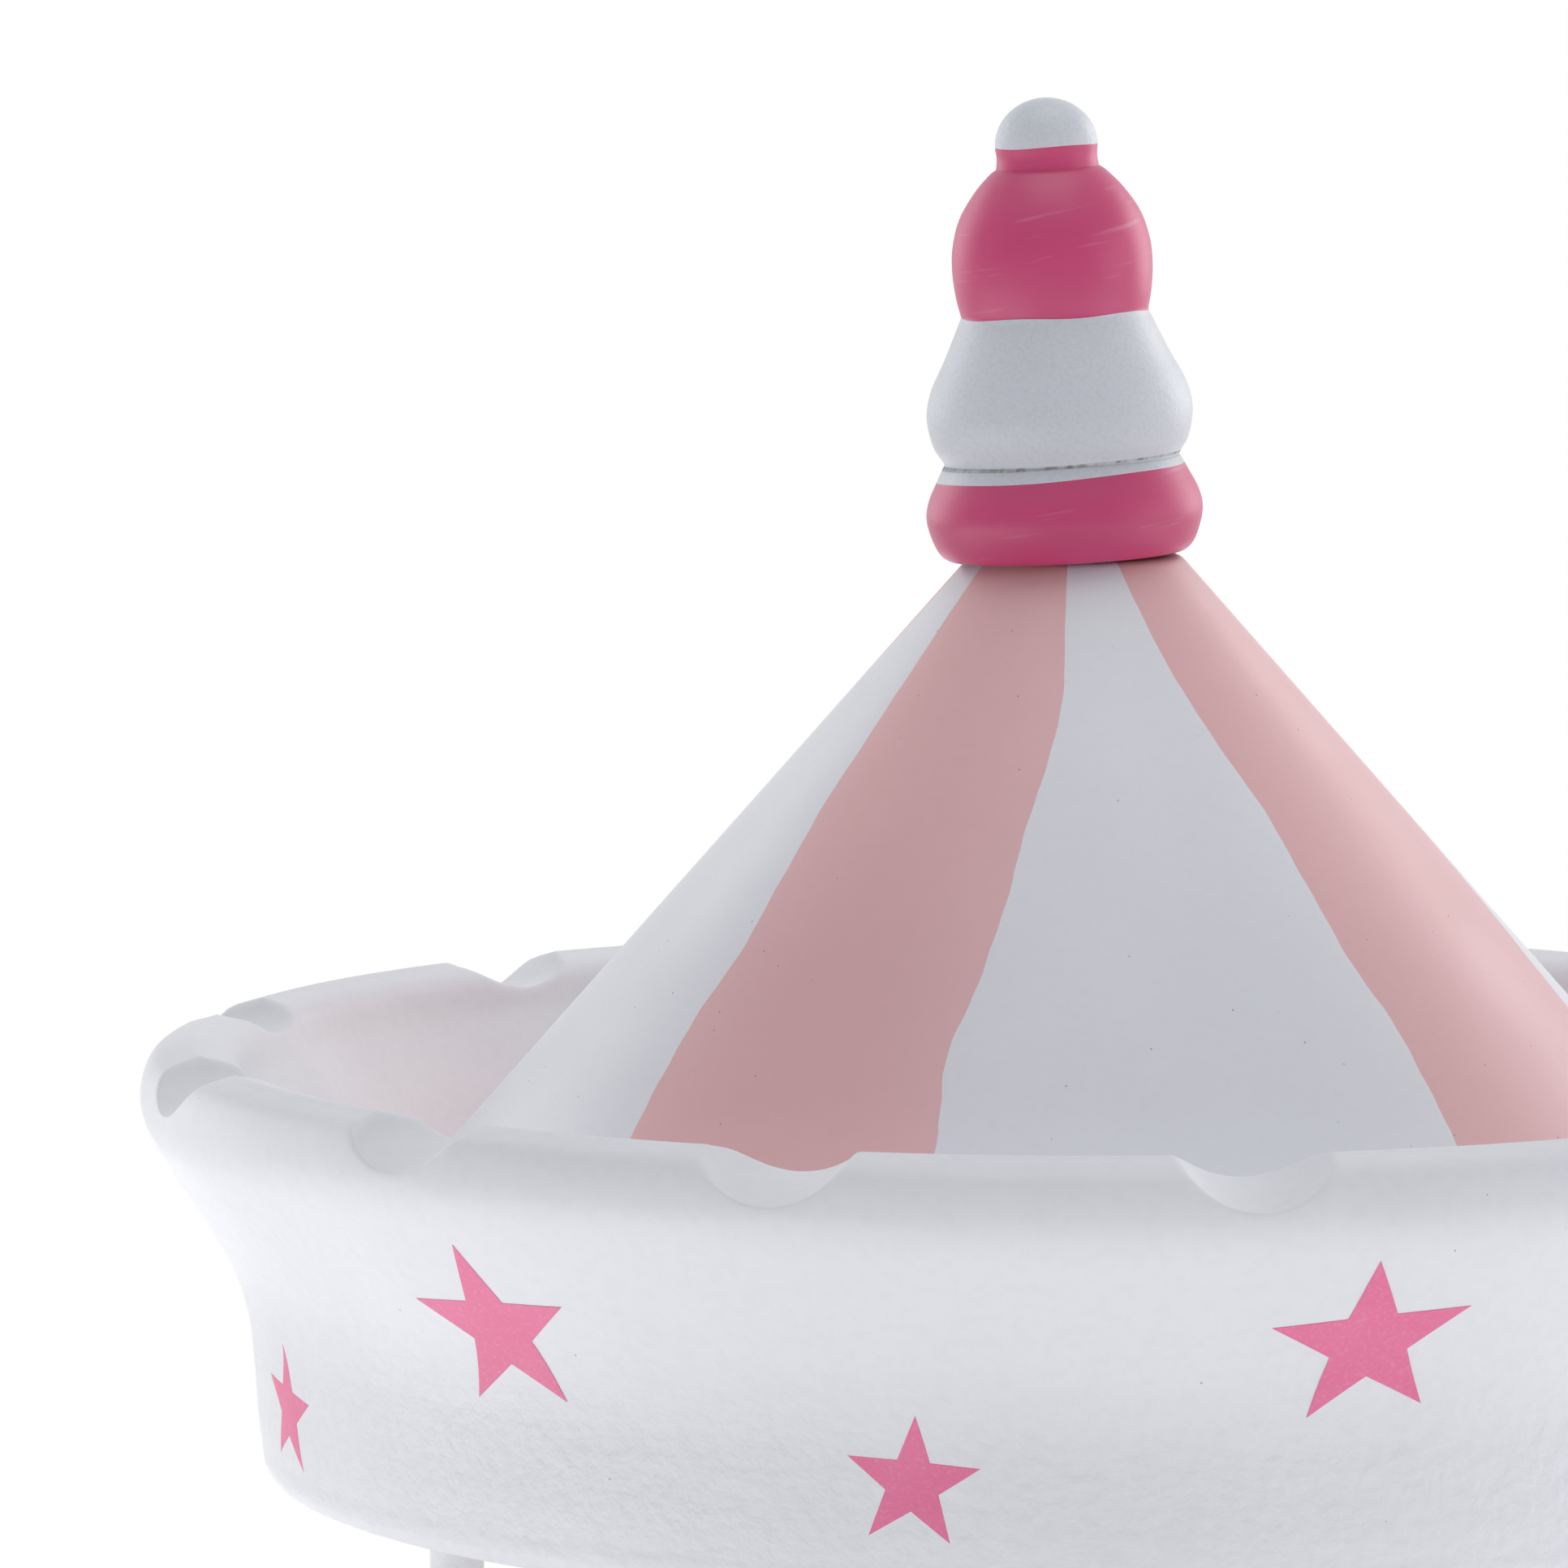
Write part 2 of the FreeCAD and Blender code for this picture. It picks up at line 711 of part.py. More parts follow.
# What turns: platform, column, poles, horses, crown, roof and finial
def make_platform():
    body = new_body("platform")
    edge = dim.platform_thickness / 2
    insert_hole = dim.insert_radius + dim.hole_play
    spigot_hole = dim.spigot_radius + dim.hole_play
    spigot_floor = dim.platform_thickness - dim.spigot_length
    revolve(body, [
        (insert_hole, 0),
        (dim.platform_radius - edge, 0),
        (dim.platform_radius, edge, edge),
        (dim.platform_radius - edge, dim.platform_thickness, edge),
        (spigot_hole, dim.platform_thickness),
        (spigot_hole, spigot_floor),
        (0, spigot_floor),
        (0, dim.insert_length),
        (insert_hole, dim.insert_length),
    ])
    socket = bore(
        body, dim.pole_radius + dim.hole_play, dim.pole_socket_platform, dim.pole_circle_radius, 0,
        dim.platform_thickness - dim.pole_socket_platform,
    )
    repeat_round(body, socket, dim.pole_count)
    place(body, z=platform_bottom, turn=dim.pole_phase)


def make_platform_insert():
    body = new_body("platform_insert")
    ring = sketch_on(body, "XY")
    circle(ring, 0, 0, dim.insert_radius)
    circle(ring, 0, 0, dim.spindle_radius + dim.hole_play)
    pad(body, ring, dim.insert_length)
    place(body, z=platform_bottom)


def make_column():
    body = new_body("column")
    ring, cove, top = dim.column_ring_height, dim.column_cove_height, dim.pole_clear
    inset = dim.column_ring_radius - dim.column_ring_swell
    revolve(body, [
        (0, -dim.spigot_length),
        (dim.spigot_radius, -dim.spigot_length),
        (dim.spigot_radius, 0),
        (inset, 0),
        (inset, ring, dim.column_ring_arc),
        (dim.column_radius, ring + cove, -cove),
        (dim.column_radius, top - ring - cove),
        (inset, top - ring, -cove),
        (inset, top, dim.column_ring_arc),
        (dim.spigot_radius, top),
        (dim.spigot_radius, top + dim.spigot_length),
        (0, top + dim.spigot_length),
    ])
    place(body, z=platform_top)


# Outline of a prancing horse that faces +X, with the pole through X 0 and its hooves at height 0
HORSE = [
    (7.6, 0),
    (12.6, 0),
    (12.3, 3.2),
    (13.6, 11.6, -40),
    (17.6, 12.0, -6),
    (16.8, 7.6),
    (16.0, 5.2),
    (19.7, 4.4),
    (20.4, 7.2),
    (22.4, 14.2),
    (20.6, 17.0, 2.2),
    (15.4, 20.0, -9),
    (14.2, 25.4, 12),
    (17.2, 29.0, -3.4),
    (20.6, 26.8, 14),
    (23.2, 28.8, 1.8),
    (18.6, 36.0, -30),
    (17.2, 37.2),
    (16.6, 40.0),
    (14.4, 37.8),
    (3.2, 26.6, 19),
    (-8.0, 26.2, -13),
    (-16.4, 22.4, 9.5),
    (-23.0, 11.0, 11),
    (-21.6, 7.0, 9),
    (-17.8, 16.0, -9.5),
    (-18.6, 9.0, -16),
    (-19.4, 3.2),
    (-19.8, 0),
    (-14.8, 0),
    (-14.6, 3.2),
    (-12.0, 8.8, -30),
    (-9.7, 3.2, -30),
    (-9.8, 0),
    (-4.8, 0),
    (-5.1, 3.2),
    (-4.2, 13.2, -26),
    (6.8, 13.2, 24),
    (7.9, 3.2, -26),
]


def make_horse(number, angle):
    body = new_body(f"horse_{number}")
    outline = sketch_on(body, "XZ")
    corners = [tuple(dim.horse_scale * amount for amount in corner) for corner in HORSE]
    draw(outline, chords(corners, SAWN_TURN))
    pad(body, outline, dim.horse_thickness, symmetric=True)
    bore(body, dim.pole_radius + dim.hole_play, dim.pole_clear)
    reach = dim.pole_circle_radius
    place(body, reach * cosine(angle), reach * sine(angle), platform_top + dim.horse_lift, angle + 90)


def make_poles_and_horses():
    length = dim.pole_socket_platform + dim.pole_clear + dim.pole_socket_crown
    reach = dim.pole_circle_radius
    for number in range(1, DIMENSIONS["pole_count"] + 1):
        angle = dim.pole_phase + (number - 1) * 360 / dim.pole_count
        rod(
            f"pole_{number}", dim.pole_radius, length,
            reach * cosine(angle), reach * sine(angle), platform_top - dim.pole_socket_platform,
        )
        make_horse(number, angle)


def make_crown():
    body = new_body("crown")
    spigot_hole = dim.spigot_radius + dim.hole_play
    edge = dim.crown_edge_round
    revolve(body, [
        (spigot_hole, 0),
        (dim.crown_wall_radius - edge, 0),
        (dim.crown_wall_radius, edge, edge),
        (dim.crown_waist_radius, dim.crown_waist_height),
        (dim.crown_flare_radius, dim.crown_flare_height, -dim.crown_cove_arc),
        (dim.crown_rim_radius, dim.crown_rim_height, dim.crown_shoulder_arc),
        (dim.crown_crest_radius, dim.crown_height, dim.crown_rim_arc),
        (dim.crown_lip_radius, dim.crown_lip_height, dim.crown_rim_arc),
        (dim.crown_floor_radius, crown_floor, -dim.crown_inner_arc),
        (0, crown_floor),
        (0, dim.spigot_length),
        (spigot_hole, dim.spigot_length),
    ], turn=SAWN_TURN)
    # One scoop of the rim: a round cutter whose axis slopes down to the outside
    start = dim.crown_crest_radius - dim.notch_inner_reach
    rise = dim.notch_inner_reach * tangent(dim.notch_slope)
    height = dim.crown_height - dim.notch_depth + dim.notch_radius + rise
    scoop = sketch_on(body, "YZ")
    tilt = Rotation(Vector(1, 0, 0), dim.notch_slope.value)
    scoop.AttachmentOffset = Placement(Vector(0, height.value, start.value), tilt)
    scoop.setExpression("AttachmentOffset.Base.y", height.text)
    scoop.setExpression("AttachmentOffset.Base.z", start.text)
    circle(scoop, 0, 0, dim.notch_radius)
    repeat_round(body, pocket(body, scoop, dim.notch_length, upwards=True), dim.notch_count)
    # Sockets for the poles, drilled from below
    off = dim.pole_phase - dim.notch_phase
    socket = bore(
        body, dim.pole_radius + dim.hole_play, dim.pole_socket_crown,
        dim.pole_circle_radius * cosine(off), dim.pole_circle_radius * sine(off),
    )
    repeat_round(body, socket, dim.pole_count)
    place(body, z=crown_bottom, turn=dim.notch_phase)


def make_roof_cone():
    body = new_body("roof_cone")
    hole_floor = dim.roof_height - dim.dowel_depth - dim.dowel_end_gap
    run = dim.roof_edge_run
    revolve(body, [
        (0, 0),
        (dim.roof_base_radius, 0),
        (dim.roof_top_radius + run, dim.roof_height - dim.roof_edge_height),
        (dim.roof_top_radius - run, dim.roof_height, dim.roof_edge_arc),
        (dim.roof_hole_radius, dim.roof_height),
        (dim.roof_hole_radius, hole_floor),
        (0, hole_floor),
    ])
    place(body, z=roof_bottom)


def make_finial():
    """Turned finial: bell foot, flaring belly, egg, neck and domed cap.

    It leans, because the dowel that joins it to the roof sits in a loose hole.
    """
    body = new_body("finial")
    bore_radius = dim.dowel_radius + dim.hole_play
    neck = dim.finial_neck_radius
    revolve(body, [
        (bore_radius, 0),
        (dim.finial_foot_radius - dim.finial_foot_inset, 0),
        (dim.finial_foot_radius, dim.finial_foot_height, dim.finial_foot_arc),
        (dim.finial_slope_radius, dim.finial_slope_height),
        (dim.finial_groove_radius, dim.finial_groove_height),
        (dim.finial_belly_radius, dim.finial_belly_height, dim.finial_belly_arc),
        (dim.finial_waist_radius, dim.finial_waist_height),
        (dim.finial_egg_radius, dim.finial_egg_height, dim.finial_egg_lower_arc),
        (neck, dim.finial_neck_start, dim.finial_egg_upper_arc),
        (neck, dim.finial_neck_end),
        (dim.finial_cap_flat, dim.finial_height, dim.finial_cap_arc),
        (0, dim.finial_height),
        (0, dim.dowel_depth),
        (bore_radius, dim.dowel_depth),
    ])
    lift = (dim.roof_top_radius - dim.finial_shift) * tangent(dim.finial_lean)
    place(body, -dim.finial_shift, 0, roof_top + lift, -dim.finial_lean, Vector(0, 1, 0))
    depth, lean = dim.dowel_depth, dim.finial_lean
    rod(
        "finial_dowel", dim.dowel_radius, depth * 2,
        -dim.finial_shift + depth * sine(lean), 0, roof_top + lift - depth * cosine(lean),
        -lean, Vector(0, 1, 0),
    )


# Winding: barrel, spring, arbor and key
def make_spring_barrel():
    body = new_body("spring_barrel")
    floor, rim = dim.barrel_flange_thickness, dim.barrel_flange_radius
    hole = dim.arbor_radius + dim.hole_play
    revolve(body, [
        (hole, 0),
        (rim, 0),
        (rim, floor),
        (dim.barrel_radius, floor),
        (dim.barrel_radius, dim.barrel_height),
        (dim.barrel_radius - dim.barrel_wall, dim.barrel_height),
        (dim.barrel_radius - dim.barrel_wall, floor),
        (hole, floor),
    ])
    # Face teeth of the flange stand up like a rack bent into a ring, with a gap at X
    flank = math.tan(math.radians(PRESSURE_ANGLE))
    half = dim.face_tooth_width / 2
    tip, root = dim.drive_module * FACE_TOOTH_TIP, dim.drive_module * FACE_TOOTH_ROOT
    tooth = sketch_on(body, "YZ", dim.face_inner_radius)
    draw(tooth, [
        (-half - root * flank, floor - dim.face_tooth_sunk),
        (half + root * flank, floor - dim.face_tooth_sunk),
        (half + root * flank, floor),
        (half - tip * flank, face_pitch_height + tip),
        (-half + tip * flank, face_pitch_height + tip),
        (-half - root * flank, floor),
    ])
    first = pad(body, tooth, dim.face_outer_radius - dim.face_inner_radius)
    repeat_round(body, first, dim.face_teeth)
    place(body, z=barrel_bottom, turn=180 / dim.face_teeth)


def make_barrel_lid():
    body = new_body("barrel_lid")
    hole = dim.spindle_radius + dim.hole_play
    thick, hub = dim.lid_thickness, dim.lid_thickness + dim.lid_hub_height
    revolve(body, [
        (hole, 0),
        (dim.barrel_radius, 0),
        (dim.barrel_radius, thick),
        (dim.lid_hub_radius, thick),
        (dim.lid_hub_radius, hub),
        (hole, hub),
    ])
    place(body, z=barrel_top)


def make_mainspring():
    """A coiled strip of half circles, each wider than the one before, standing on the barrel's floor."""
    step, thick = DIMENSIONS["spring_half_step"], DIMENSIONS["spring_thickness"]
    edges, inner = [], []
    for half_turn in range(DIMENSIONS["spring_half_turns"]):
        radius = DIMENSIONS["spring_start_radius"] + half_turn * step
        middle = Vector(step if half_turn % 2 else 0, 0, 0)
        turns = (math.pi, 2 * math.pi) if half_turn % 2 else (0, math.pi)
        inner.append(Part.ArcOfCircle(Part.Circle(middle, UP, radius), *turns).toShape())
        edges.append(Part.ArcOfCircle(Part.Circle(middle, UP, radius + thick), *turns).toShape())
    outer = list(edges)
    for arc, end in ((0, 0), (-1, -1)):
        edges.append(Part.makeLine(inner[arc].Vertexes[end].Point, outer[arc].Vertexes[end].Point))
    strip = Part.Face(Part.Wire(Part.__sortEdges__(edges + inner)))
    spring = doc.addObject("Part::Feature", "mainspring")
    spring.Label = "mainspring"
    spring.Shape = strip.extrude(UP * DIMENSIONS["spring_width"])
    place(spring, z=barrel_bottom + dim.barrel_flange_thickness)
    pieces.append(spring)


def make_winding():
    body = new_body("winding_arbor")
    hub_start = barrel_bottom + dim.barrel_flange_thickness + dim.arbor_hub_play
    hub_end = barrel_top - dim.arbor_hub_gap
    start = base_bottom + dim.arbor_lift
    collar_start = cover_bottom + dim.arbor_collar_lift
    collar_end = plate_bottom - dim.arbor_collar_play
    revolve(body, [
        (0, start),
        (dim.arbor_radius, start),
        (dim.arbor_radius, collar_start),
        (dim.arbor_collar_radius, collar_start),
        (dim.arbor_collar_radius, collar_end),
        (dim.arbor_radius, collar_end),
        (dim.arbor_radius, hub_start),
        (dim.arbor_hub_radius, hub_start),
        (dim.arbor_hub_radius, hub_end),
        (0, hub_end),
    ])
    key = new_body("winding_key")
    wings = sketch_on(key, "XZ")
    spread, wing, half = dim.key_wing_spread, dim.key_wing_radius, dim.key_bridge_half_height
    side = math.sqrt(wing.value**2 - half.value**2)
    middle = dim.key_height
    draw(wings, [
        (-spread + side, middle - half, wing),
        (spread - side, middle - half),
        (spread, middle - wing, wing),
        (spread + wing, middle, wing),
        (spread, middle + wing, wing),
        (spread - side, middle + half, wing),
        (-spread + side, middle + half),
        (-spread, middle + wing, wing),
        (-spread - wing, middle, wing),
        (-spread, middle - wing, wing),
    ])
    for way in (-1, 1):
        circle(wings, spread * way, middle, dim.key_eye_radius)
    pad(key, wings, dim.key_thickness, symmetric=True)
    hub = sketch_on(key, "XY", middle - dim.key_hub_height / 2)
    circle(hub, 0, 0, dim.key_hub_radius)
    pad(key, hub, dim.key_hub_height)
    bore(key, dim.arbor_radius + dim.hole_play, dim.key_hub_height, 0, 0, start)


# Movement: bedplate, bearings, cylinder, comb and governor
def make_bedplate():
    body = new_body("movement_bedplate")
    left, right = -dim.bedplate_left, dim.bedplate_right
    front, back, corner = -dim.bedplate_front, dim.bedplate_back, dim.bedplate_corner
    outline = sketch_on(body, "XY")
    draw(outline, [
        (left + corner, front, corner),
        (right - corner, front),
        (right, front + corner, corner),
        (right, back - corner),
        (right - corner, back, corner),
        (left + corner, back),
        (left, back - corner, corner),
        (left, front + corner),
    ])
    pad(body, outline, dim.bedplate_thickness)
    # Raised seat that carries the comb
    seat = sketch_on(body, "XY", dim.bedplate_thickness)
    seat_end = dim.cylinder_start + dim.cylinder_length
    draw(seat, box_outline(dim.cylinder_start, comb_back, seat_end, comb_root))
    pad(body, seat, comb_bottom)
    bore(body, dim.arbor_radius + dim.hole_play, dim.bedplate_thickness)
    # Slot that lets the cylinder's gear dip into the plate
    slot = sketch_on(body, "XY")
    slot_start = gear_start - dim.gear_slot_play
    slot_end = gear_start + dim.train_width + dim.gear_slot_play
    slot_half = dim.gear_slot_half_length
    draw(slot, box_outline(slot_start, -slot_half, slot_end, slot_half))
    pocket(body, slot, dim.bedplate_thickness, upwards=True)
    hole = dim.screw_shank_radius + dim.hole_play
    for x, y in movement_screw_places:
        bore(body, hole, dim.movement_screw_grip, x, y)
    seat_top = dim.bedplate_thickness + comb_bottom
    for x, y in comb_screw_places:
        bore(body, hole, dim.comb_screw_grip, x, y, seat_top - dim.comb_screw_grip)
    place(body, z=plate_bottom)


def make_comb():
    body = new_body("comb")
    width = dim.notes * dim.note_pitch
    left = comb_middle - width / 2
    plate = sketch_on(body, "XY")
    draw(plate, box_outline(left, comb_back, left + width, comb_tip))
    pad(body, plate, dim.comb_thickness)
    slot = sketch_on(body, "XY")
    first = left + dim.note_pitch - dim.comb_slot / 2
    draw(slot, box_outline(first, comb_root, first + dim.comb_slot, comb_tip))
    cut = pocket(body, slot, dim.comb_thickness, upwards=True)
    row = body.newObject("PartDesign::LinearPattern", "comb_slots")
    row.Originals = [cut]
    row.Direction = (slot, ["H_Axis"])
    bind(row, Length=dim.note_pitch * (dim.notes - 2), Occurrences=dim.notes - 1)
    body.Tip = row
    doc.recompute()
    for x, y in comb_screw_places:
        bore(body, dim.screw_shank_radius + dim.hole_play, dim.comb_thickness, x, y)
    place(body, z=plate_top + comb_bottom)
    comb_top = plate_top + comb_bottom + dim.comb_thickness
    screws("comb_screws", comb_screw_places, comb_top, dim.comb_screw_grip, False)


def bearing_plate(label, start, half_left, half_right, holes):
    """An upright plate across X, with rounded top corners and a hole for each arbor."""
    body = new_body(label)
    rise, corner = cylinder_axis - plate_top, dim.bearing_corner
    top = rise + dim.bearing_rise
    plate = sketch_on(body, "YZ", start)
    draw(plate, [
        (-half_left, 0),
        (half_right, 0),
        (half_right, top - corner),
        (half_right - corner, top, corner),
        (-half_left + corner, top),
        (-half_left, top - corner, corner),
    ])
    for y in holes:
        circle(plate, y, rise, dim.cylinder_arbor_radius + dim.hole_play)
    pad(body, plate, dim.bearing_thickness)
    place(body, z=plate_top)


def make_bearings():
    half = dim.bearing_half_width
    bearing_plate("cylinder_bearing", dim.inner_bearing_start, half, half, [0])
    reach = wheel_axis_y + dim.end_bearing_reach
    bearing_plate("end_bearing", dim.outer_bearing_start, half, reach, [0, wheel_axis_y])


def make_cylinder():
    """The cylinder with its pins: each note has pins at its own angles, spread by the golden angle."""
    radius, length = DIMENSIONS["cylinder_radius"], DIMENSIONS["cylinder_length"]
    pitch, notes, count = DIMENSIONS["note_pitch"], DIMENSIONS["notes"], DIMENSIONS["pins_per_note"]
    side, sunk = DIMENSIONS["pin_width"], DIMENSIONS["pin_sunk"]
    stagger, rows = DIMENSIONS["pin_stagger"], DIMENSIONS["pin_stagger_notes"]
    arbor_hole = DIMENSIONS["cylinder_arbor_radius"] + DIMENSIONS["hole_play"]
    drum = Part.makeCylinder(radius, length).cut(Part.makeCylinder(arbor_hole, length))
    pins = []
    for note in range(notes):
        height = length / 2 + (note - (notes - 1) / 2) * pitch
        for pin in range(count):
            angle = math.radians(note * GOLDEN_ANGLE + pin * (360 / count + stagger * (note % rows)))
            outward = Vector(math.cos(angle), math.sin(angle), 0)
            peg = Part.makeBox(side, side, sunk + DIMENSIONS["pin_height"], Vector(-side / 2, -side / 2, 0))
            peg.Placement = Placement(outward * (radius - sunk) + UP * height, Rotation(UP, outward))
            pins.append(peg)
    cylinder = doc.addObject("Part::Feature", "cylinder")
    cylinder.Label = "cylinder"
    cylinder.Shape = drum.fuse(pins)
    cylinder.Placement = Placement(Vector(), ALONG_X)
    place(cylinder, dim.cylinder_start, 0, cylinder_axis)
    pieces.append(cylinder)
    start = dim.face_inner_radius - dim.cylinder_arbor_inner_reach
    end = dim.outer_bearing_start + dim.bearing_thickness + dim.cylinder_arbor_outer_reach
    arbor = rod("cylinder_arbor", dim.cylinder_arbor_radius, end - start)
    arbor.Placement = Placement(Vector(), ALONG_X)
    place(arbor, start, 0, cylinder_axis)
    pinion = new_body("drive_pinion", laid_along_x=True)
    round_gear(pinion, dim.drive_teeth, dim.drive_module, dim.drive_width)
    bore(pinion, dim.cylinder_arbor_radius + dim.hole_play, dim.drive_width)
    face_middle = (dim.face_inner_radius + dim.face_outer_radius) / 2
    place(pinion, face_middle - dim.drive_width / 2, 0, cylinder_axis)
    gear = new_body("cylinder_gear", laid_along_x=True)
    round_gear(gear, dim.cylinder_teeth, dim.train_module, dim.train_width)
    bore(gear, dim.cylinder_arbor_radius + dim.hole_play, dim.train_width)
    place(gear, gear_start, 0, cylinder_axis)


def make_governor():
    hole = dim.cylinder_arbor_radius + dim.hole_play
    start = dim.wheel_place - dim.bracket_half_length
    end = dim.outer_bearing_start + dim.bearing_thickness
    arbor = rod("governor_arbor", dim.cylinder_arbor_radius, end - start)
    arbor.Placement = Placement(Vector(), ALONG_X)
    place(arbor, start, wheel_axis_y, cylinder_axis)
    pinion = new_body("governor_pinion", laid_along_x=True)
    pinion_width = dim.train_width + dim.pinion_overlap
    round_gear(pinion, dim.pinion_teeth, dim.train_module, pinion_width, half_turned=True)
    bore(pinion, hole, pinion_width)
    place(pinion, gear_start - dim.pinion_overlap / 2, wheel_axis_y, cylinder_axis)
    wheel = new_body("governor_wheel", laid_along_x=True)
    round_gear(wheel, dim.wheel_teeth, dim.train_module, dim.wheel_width)
    bore(wheel, hole, dim.wheel_width)
    place(wheel, dim.wheel_place - dim.wheel_width / 2, wheel_axis_y, cylinder_axis)

    # Worm: a right-hand thread, one turn for each tooth of the wheel, with a groove at the wheel's tooth
    worm = new_body("governor_worm")
    shaft_bottom = plate_top + dim.worm_shaft_play - cylinder_axis
    shaft_top = plate_top + dim.bracket_height - cylinder_axis
    shoulder = dim.worm_length / 2 + dim.worm_shoulder
    revolve(worm, [
        (0, shaft_bottom),
        (dim.worm_shaft_radius, shaft_bottom),
        (dim.worm_shaft_radius, -shoulder),
        (dim.worm_root_radius, -shoulder),
        (dim.worm_root_radius, shoulder),
        (dim.worm_shaft_radius, shoulder),
        (dim.worm_shaft_radius, shaft_top),
        (0, shaft_top),
    ])
    lead = dim.train_module * math.pi
    flank = math.tan(math.radians(PRESSURE_ANGLE))
    half = dim.worm_thread_width / 2
    root = dim.worm_root_radius - dim.worm_thread_sunk
    tip = dim.worm_radius + dim.train_module * WORM_TIP
    wide, narrow = half + (dim.worm_radius - root) * flank, half - (tip - dim.worm_radius) * flank
    middle = -lead * dim.worm_turns / 2
    thread_sketch = sketch_on(worm, "XZ")
    draw(thread_sketch, [
        (root, middle - wide),
        (tip, middle - narrow),
        (tip, middle + narrow),
        (root, middle + wide),
    ])
    thread = worm.newObject("PartDesign::AdditiveHelix", "worm_thread")
    thread.Profile = thread_sketch
    thread.ReferenceAxis = (thread_sketch, ["V_Axis"])
    thread.Mode = "pitch-height-angle"
    bind(thread, Pitch=lead, Height=lead * dim.worm_turns)
    doc.recompute()
    place(worm, dim.wheel_place, worm_axis_y, cylinder_axis, turn=dim.worm_phase)

    fan = new_body("governor_fan")
    fan_hole = dim.worm_shaft_radius + dim.hole_play
    hub = sketch_on(fan, "XY")
    circle(hub, 0, 0, dim.fan_hub_radius)
    pad(fan, hub, dim.fan_height)
    blade = sketch_on(fan, "XZ")
    reach, corner = dim.fan_radius, dim.fan_corner
    draw(blade, [
        (-reach, corner),
        (-reach + corner, 0, corner),
        (reach - corner, 0),
        (reach, corner, corner),
        (reach, dim.fan_height),
        (-reach, dim.fan_height),
    ])
    pad(fan, blade, dim.fan_blade_thickness, symmetric=True)
    bore(fan, fan_hole, dim.fan_height)
    fan_top = plate_top + dim.bracket_height - dim.bracket_thickness - dim.fan_gap
    place(fan, dim.wheel_place, worm_axis_y, fan_top - dim.fan_height)

    # Bracket: a C of sheet metal round the worm, with an ear that carries the wheel's arbor
    bracket = new_body("governor_bracket")
    wall = worm_axis_y + dim.fan_radius + dim.fan_clearance
    thick, top = dim.bracket_thickness, dim.bracket_height
    near = worm_axis_y - dim.bracket_arm_reach
    section = sketch_on(bracket, "YZ")
    draw(section, [
        (near, 0),
        (wall + thick, 0),
        (wall + thick, top),
        (near, top),
        (near, top - thick),
        (wall, top - thick),
        (wall, thick),
        (near, thick),
    ])
    pad(bracket, section, dim.bracket_half_length * 2, symmetric=True)
    ear = sketch_on(bracket, "YZ", -dim.bracket_half_length)
    rise, lobe = cylinder_axis - plate_top, dim.bracket_ear_radius
    draw(ear, [
        (wheel_axis_y - lobe, 0),
        (wall, 0),
        (wall, rise + lobe),
        (wheel_axis_y, rise + lobe),
        (wheel_axis_y - lobe, rise, lobe),
    ])
    circle(ear, wheel_axis_y, rise, hole)
    pad(bracket, ear, thick)
    bore(bracket, dim.worm_shaft_radius + dim.hole_play, top, 0, worm_axis_y)
    place(bracket, dim.wheel_place, 0, plate_top)


def make_spindle():
    end = platform_bottom + dim.insert_length - dim.spindle_end_gap
    rod("spindle", dim.spindle_radius, end - barrel_top, z=barrel_top)


make_feet()
make_base_drum()
make_bottom_cover()
make_spindle_bush()
make_thrust_washer()
make_platform()
make_platform_insert()
make_spindle()
make_column()
make_poles_and_horses()
make_crown()
make_roof_cone()
make_finial()
make_spring_barrel()
make_barrel_lid()
make_mainspring()
make_winding()
make_bedplate()
make_comb()
make_bearings()
make_cylinder()
make_governor()
doc.recompute()

for thing in doc.Objects:
    if "Invalid" in thing.State or "Error" in thing.State:
        raise RuntimeError(f"{thing.Label} failed: {thing.State}")
for piece in pieces:
    if piece.Shape.isNull() or not piece.Shape.isValid():
        raise RuntimeError(f"{piece.Label} has no sound shape")

os.makedirs("parts", exist_ok=True)
for piece in pieces:
    piece.Shape.exportStep(f"parts/{piece.Label}.step")
print(len(pieces), "pieces written")
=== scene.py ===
# %% [markdown]
# A painted wooden carousel music box, as a lesson in Blender.
#
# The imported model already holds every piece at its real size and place. This script gives the object its
# looks: the turned and sawn wooden pieces are rebuilt as fine meshes with soft edges, and each of them, and
# each metal piece of the movement, gets a finish made of shader nodes. Sizes are written in millimetres.

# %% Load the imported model
import json
import math

import bmesh
import bpy
import numpy as np
from mathutils import Matrix, Vector


